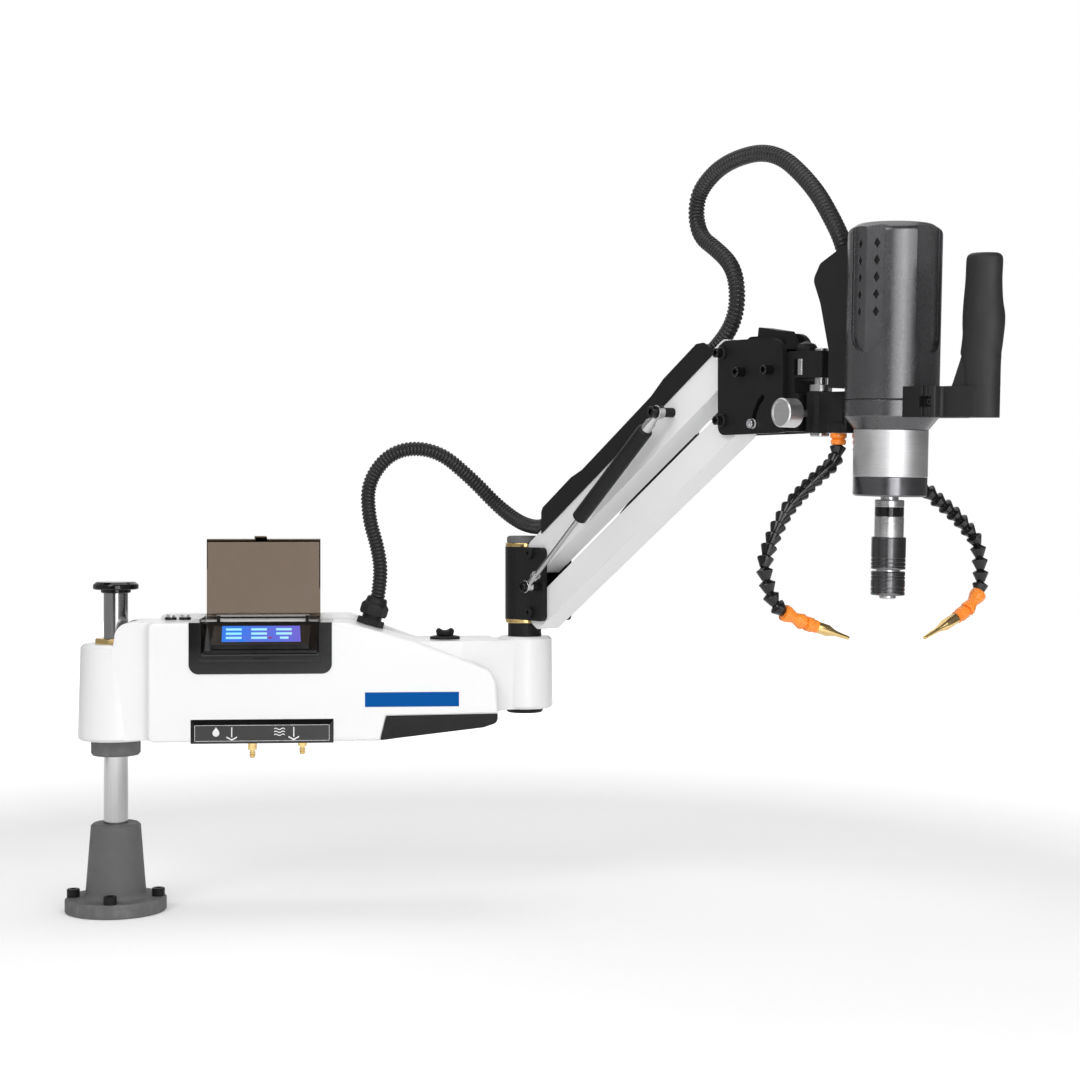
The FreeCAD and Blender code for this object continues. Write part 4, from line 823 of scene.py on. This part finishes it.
def hose(name, points):
    """Jointed coolant hose: its chain, orange end, nozzle and the nut at its foot."""
    line = smooth_through([Vector(p) for p in points[:-1]]) + [Vector(points[-1])]
    waist, collar, nozzle = END_LENGTHS[name]
    ends = [place_at(line, length)[0] for length in (waist + collar + nozzle, collar + nozzle, nozzle, 0)]
    black = place_at(line, waist + collar + nozzle)[1]
    places = even_line(black, HOSE_PITCH)
    foot = Vector(points[0])
    pieces = ((beads(name + "_chain", places, SEGMENT, HOSE_PITCH), "hose_black", "hose_black"),
              (beads(name + "_waist", ends[0:2], WAIST, 1.0), "hose_orange", "hose_black"),
              (beads(name + "_collar", ends[1:3], COLLAR, 1.0), "hose_orange", "hose_black"),
              (beads(name + "_nozzle", ends[2:4], NOZZLE, 1.0), "brass", "bronze"),
              (lathe(name + "_nut", NUT, lambda x, y, z: on_head(foot.x + x, foot.y + y, z), 40),
               "hose_orange", "hose_black"))
    for piece, look, slot in pieces:
        piece.data.materials.append(material(look))
        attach(piece, name)
    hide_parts(name)


def hoses():
    for name, points in HOSES.items():
        hose(name, points)


# ---------------------------------------------------------------- screws
SOCKET_DEPTH = 0.55           # shares of the head's height and radius
SOCKET_SIZE = 0.56


def cap_screw(name, x, z, seat, top, radius, look, body):
    """Head of a cap screw with a hexagon socket, from its seat to its top across the forearm."""
    deep = top + SOCKET_DEPTH * (seat - top)
    socket = SOCKET_SIZE * radius

    def place(a, b, c):
        if math.hypot(a, b) < 1.01 * socket:
            lobe = math.atan2(b, a) % math.radians(60) - math.radians(30)
            a, b = a / math.cos(lobe), b / math.cos(lobe)
        return on_forearm(x + a, c, z + b)

    edge = 0.5 if top > seat else -0.5
    screw = lathe(name, ((0.1, deep), (socket, deep), (socket, top), (radius - 0.5, top),
                         (radius, top - edge), (radius, seat)), place, 48)
    screw.data.materials.append(material(look))
    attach(screw, body)


# screws of the head plates: their x, z, and where a head begins and ends across the forearm
PLATE_SCREWS = ((413.3, 599.0), (413.3, 672.5), (446.3, 650.1), (491.7, 650.0))
PLATE_FACE = -21.3
PLATE_SCREW_TOP = -33.0
PLATE_SCREW_R = 5.2


def plate_screws():
    """Heads of the screws that hold the head plates to their pins and spacer."""
    for k, (x, z) in enumerate(PLATE_SCREWS):
        cap_screw("plate_screw_%d" % k, x, z, PLATE_FACE, PLATE_SCREW_TOP, PLATE_SCREW_R,
                  "black_gloss", "head_carrier")


# ---------------------------------------------------------------- gas springs
SPRING_FOOT = Vector((57.0, 0.0, 405.0))
SPRING_Y = 35.0
LIFT = math.radians(31.6)
UPPER_PIN = (44.5, 445.6)     # x, z of the upper link's pin at the elbow
SPRING_HEAD = (319.4, -2.2)   # along the link and off its line
EYE = ((4.6, -4.3), (7.4, -4.3), (7.8, -3.8), (7.8, 3.8), (7.4, 4.3), (4.6, 4.3), (4.6, -4.3))
NECK = ((3.9, 6.0), (4.4, 7.0), (4.6, 15.0), (6.3, 19.0), (6.3, 29.8), (3.0, 29.9))
SCREW_SEAT = 4.4              # from the middle of an eye to its screw's head
SCREW_TOPS = (12.0, 9.0)      # from the middle to the screw's top, at the link and at the elbow
SCREW_RADII = (6.6, 5.8)


def spring_ends():
    """Bright end fittings of the two gas springs and the screws in their eyes."""
    run, off = SPRING_HEAD
    head = Vector((UPPER_PIN[0] + run * math.cos(LIFT) - off * math.sin(LIFT), 0,
                   UPPER_PIN[1] + run * math.sin(LIFT) + off * math.cos(LIFT)))
    back = (SPRING_FOOT - head).normalized()
    aside = Vector((0, 1, 0)).cross(back)
    for name, out in (("near", -1), ("far", 1)):
        y = out * SPRING_Y
        top = head + Vector((0, y, 0))

        def along(a, b, c):
            place = top + back * c + aside * a + Vector((0, 1, 0)) * b
            return on_forearm(*place)

        def across(a, b, c):
            place = top + back * a + aside * b + Vector((0, 1, 0)) * c
            return on_forearm(*place)

        def at_foot(a, b, c):
            return on_forearm(SPRING_FOOT.x + a, y + c, SPRING_FOOT.z + b)

        neck = lathe("spring_neck_" + name, NECK, along, 40)
        eye = lathe("spring_eye_" + name, EYE, across, 48)
        low_eye = lathe("spring_low_eye_" + name, EYE, at_foot, 48)
        for piece, body in ((neck, "upper_link"), (eye, "upper_link"), (low_eye, "spring_rod_" + name)):
            piece.data.materials.append(material("steel"))
            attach(piece, body)
        seat = y + out * SCREW_SEAT
        cap_screw("spring_screw_" + name, head.x, head.z, seat, y + out * SCREW_TOPS[0],
                  SCREW_RADII[0], "black_gloss", "upper_link")
        cap_screw("spring_low_screw_" + name, SPRING_FOOT.x, SPRING_FOOT.z, seat,
                  y + out * SCREW_TOPS[1], SCREW_RADII[1], "black_gloss", "elbow")


# ---------------------------------------------------------------- vents
MOTOR_AXIS_X = 648.5
POCKET_TURN = 8.0             # of the pockets round the motor, degrees
POCKET_RIDGE = (45.9, 0.0)    # floor's ridge and edge, from the motor's axis and to the side
POCKET_EDGE = (38.8, 20.5)
FLOOR_LEAN = 19.1             # of each half of a pocket's floor, degrees
VENT_FOOT_Z = 703.0
VENT_PITCH = 16.8
VENT_ROWS = 5
VENT_HALF = (3.2, 5.4)        # half the width and height of a diamond
VENT_SHADE_SHEET = (-2.6, -2.4)          # two faces of the dark sheet of painted shade, from the pocket's floor


def vent_shade_sheets():
    """Dark sheets of painted shade behind the diamond vents of the motor cover's pockets."""
    axis = Matrix.Translation((MOTOR_AXIS_X, 0, 0))
    half_width, half_height = VENT_HALF
    for quarter in (1, 3):
        for side in (-1, 1):
            middle = Matrix.Translation(((POCKET_RIDGE[0] + POCKET_EDGE[0]) / 2,
                                         side * (POCKET_RIDGE[1] + POCKET_EDGE[1]) / 2, 0))
            round_motor = Matrix.Rotation(math.radians(POCKET_TURN + 90 * quarter), 4, "Z")
            lean = Matrix.Rotation(math.radians(side * FLOOR_LEAN), 4, "Z")
            turn = axis @ round_motor @ middle @ lean
            for row in range(VENT_ROWS):
                z = VENT_FOOT_Z + VENT_PITCH * row
                diamond = [(-half_width, z), (0, z - half_height), (half_width, z), (0, z + half_height)]
                # each diamond is a black sheet that paints the shade inside a vent
                plate("vent_%d_%d_%d" % (quarter, side, row), diamond,
                      lambda a, b, c: on_head(*(turn @ Vector((c, a, b)))), *VENT_SHADE_SHEET,
                      material("black_coat"), "head", "black_plastic")


# ---------------------------------------------------------------- grip
# sections of the grip: (height, centre, half size)
GRIP = ((630.0, 768.0, 24.6), (640, 767.6, 24.8), (650, 766.8, 25.8), (657.2, 766.4, 26.6),
        (661, 765.9, 27.2), (668, 767, 27.3), (678, 768.2, 27.4), (689, 768.5, 28.3),
        (698, 768.4, 28.1), (711, 767.4, 26.2), (730, 767.5, 24.5), (748, 768, 24.4),
        (753, 768, 22.8), (755.2, 768, 19))
GRIP_SIDES = 72
GRIP_LARGEST = 28.3
GRIP_SHARE = (0.78, 0.626)    # of a section's half size, along and across the forearm
WITHIN_SOLID = 0.99           # keeps the smooth form inside the solid's outline


def grip():
    """Smoothly flowing grip through its sections."""
    line = smooth_through([Vector(section) for section in GRIP], 6)
    mesh = bmesh.new()
    rings = []
    for z, x, size in line:
        size = WITHIN_SOLID * min(size, GRIP_LARGEST)
        rings.append(ring_of(mesh, GRIP_SIDES, lambda a, b: on_head(
            x + GRIP_SHARE[0] * size * a, GRIP_SHARE[1] * size * b, z)))
    skin(mesh, rings)
    close_ends(mesh, rings)
    piece = finish_mesh("grip", mesh)
    piece.data.materials.append(material("grip"))
    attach(piece, "head")
    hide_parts("handle_grip")


# ---------------------------------------------------------------- chuck
def grooved(radius, low, high, grooves, width=1.0, depth=0.7):
    """Outline of a sleeve with ring grooves, from its foot to its top."""
    profile = [(radius - 1.2, low), (radius - 0.2, low + 0.2), (radius, low + 0.8)]
    for groove in grooves:
        profile += [(radius, groove), (radius - depth, groove + 0.2), (radius - depth, groove + width),
                    (radius, groove + width + 0.2)]
    profile += [(radius, high - 0.8), (radius - 0.8, high), (radius - 2.5, high)]
    return profile


SLEEVE = (17.25, 447.0, 479.4)    # radius, foot and top
SLEEVE_GROOVES = (449.5, 453.5, 457.5)
SLEEVE_BORES = (12.2, 14.8)       # at its foot and its top
COLLAR_RING = (17.05, 421.0, 445.0)
COLLAR_GROOVES = (424, 428, 436, 439.5)
COLLAR_BORE = 12.0
BAND = ((14.25, 500.2), (14.6, 500.4), (14.6, 509.3), (14.25, 509.5))


def on_spindle(x, y, z):
    """Point by its distances from the spindle's axis, which is the motor's."""
    return on_head(MOTOR_AXIS_X + x, y, z)


def chuck():
    """Grooved sleeve and collar of the quick-change chuck, and the black band above them."""
    sleeve = lathe("chuck_sleeve_turned", [(SLEEVE_BORES[0], SLEEVE[1])]
                   + grooved(*SLEEVE, SLEEVE_GROOVES) + [(SLEEVE_BORES[1], SLEEVE[2])], on_spindle)
    collar = lathe("chuck_collar_turned", [(COLLAR_BORE, COLLAR_RING[1])]
                   + grooved(*COLLAR_RING, COLLAR_GROOVES) + [(COLLAR_BORE, COLLAR_RING[2])], on_spindle)
    for piece, node, body in ((sleeve, "chuck_sleeve", "chuck_sleeve"),
                              (collar, "chuck_collar", "spindle")):
        piece.data.materials.append(material("chuck"))
        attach(piece, body)
        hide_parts(node)
    band = lathe("chuck_band", BAND, on_spindle)
    band.data.materials.append(material("black_gloss"))
    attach(band, "spindle")


# ---------------------------------------------------------------- stage
def area(name, place, target, size, power, size_y=None):
    """Area lamp that shines from a place to a target."""
    data = bpy.data.lights.new(name, "AREA")
    data.energy = power
    data.size = size
    if size_y:
        data.shape = "RECTANGLE"
        data.size_y = size_y
    lamp = bpy.data.objects.new(name, data)
    bpy.context.collection.objects.link(lamp)
    lamp.location = place
    lamp.rotation_euler = (Vector(target) - Vector(place)).to_track_quat("-Z", "Y").to_euler()


def white_for_camera(tree, low, high):
    """Strength that is high for camera, glossy and transmission rays and low for the rest."""
    path = tree.nodes.new("ShaderNodeLightPath")
    camera = tree.nodes.new("ShaderNodeMath")
    camera.operation = "MAXIMUM"
    tree.links.new(path.outputs["Is Camera Ray"], camera.inputs[0])
    tree.links.new(path.outputs["Is Glossy Ray"], camera.inputs[1])
    every = tree.nodes.new("ShaderNodeMath")
    every.operation = "MAXIMUM"
    tree.links.new(camera.outputs[0], every.inputs[0])
    tree.links.new(path.outputs["Is Transmission Ray"], every.inputs[1])
    level = tree.nodes.new("ShaderNodeMapRange")
    level.inputs["To Min"].default_value = low
    level.inputs["To Max"].default_value = high
    tree.links.new(every.outputs[0], level.inputs["Value"])
    return level.outputs["Result"]


WORLD_LIGHT = (0.40, 1.0)     # for the rays that light the part, and for those that look at it


def world():
    """Studio light all round, white where the camera or a reflection sees it."""
    scene = bpy.context.scene
    scene.world = bpy.data.worlds.new("studio")
    scene.world.use_nodes = True
    tree = scene.world.node_tree
    back = tree.nodes["Background"]
    back.inputs["Color"].default_value = (1, 1, 1, 1)
    tree.links.new(white_for_camera(tree, *WORLD_LIGHT), back.inputs["Strength"])
    scene.view_settings.view_transform = "Standard"


FLOOR_HALF = 6
SHADOW_REACH = (0.9, 2.4)     # the floor's own light grows between these distances from its middle
SHADOW_LIGHT = (0.14, 1.0)


def floor():
    """White floor that keeps a soft shadow of the object."""
    mesh = bmesh.new()
    bmesh.ops.create_grid(mesh, x_segments=1, y_segments=1, size=FLOOR_HALF)
    piece = finish_mesh("floor", mesh, smooth=False)
    piece.location = (0.4, 0, -0.0005)
    n = Nodes("floor")
    soft = n.noise(3, 2)
    diffuse = n.add("BsdfDiffuse", {"Color": n.mix(soft, rgba(0.86, 0.86, 0.86), rgba(0.88, 0.88, 0.88))})
    reach = n.add("VectorMath", {0: n.coord}, operation="LENGTH").outputs["Value"]
    lift = n.ramp(reach, *SHADOW_REACH, *SHADOW_LIGHT)
    level = n.add("Math", {0: white_for_camera(n.tree, 0.0, 1.0), 1: lift}, operation="MULTIPLY")
    white = n.add("Emission", {"Color": rgba(1, 1, 1), "Strength": level.outputs[0]})
    n.surface(n.add("AddShader", {0: diffuse.outputs[0], 1: white.outputs[0]}).outputs[0])
    piece.data.materials.append(n.mat)


def wall(name, corners, look):
    """Plain wall of the studio, out of the picture: only reflections show it."""
    mesh = bmesh.new()
    mesh.faces.new([mesh.verts.new(corner) for corner in corners])
    piece = finish_mesh(name, mesh, smooth=False)
    piece.data.materials.append(material(look))
    piece.visible_camera = False
    piece.visible_diffuse = False
    piece.visible_transmission = False
    piece.visible_shadow = False


def walls():
    """Room round the part, open behind it: more than a metre away on every side."""
    left, right, front, back, top = -1.5, 2.5, -3.8, 5.5, 3.2

    def upright(x0, y0, x1, y1):
        return (x0, y0, 0), (x1, y1, 0), (x1, y1, top), (x0, y0, top)

    wall("wall_left", upright(left, front, left, back), "wall_grey")
    wall("wall_right", upright(right, front, right, back), "wall_dark")
    wall("wall_front", upright(left, front, right, front), "wall_black")
    wall("ceiling", ((left, front, top), (right, front, top), (right, 2.0, top), (left, 2.0, top)),
         "wall_black")


def lights():
    """Large soft lamps, and two tall ones aimed at the head."""
    middle = (0.45, -0.1, 0.45)
    head = (0.84, -0.56, 0.6)
    area("key", (-0.9, -2.2, 2.1), middle, 1.4, 29)
    area("fill", (2.0, -2.7, 1.3), middle, 1.4, 16)
    area("strip", (1.22, -2.75, 0.9), head, 0.3, 9, 1.7)
    area("panel", (0.68, -2.95, 0.9), head, 0.9, 14, 1.7)
    area("top", (0.5, 0.1, 2.6), middle, 2.2, 22)


def main():
    place_camera()
    conduits()
    world()
    floor()
    walls()
    lights()
    paint_nodes()
    front_label()
    port_marks()
    lid_rim()
    display_picture()
    hoses()
    spring_ends()
    plate_screws()
    vent_shade_sheets()
    grip()
    chuck()


main()
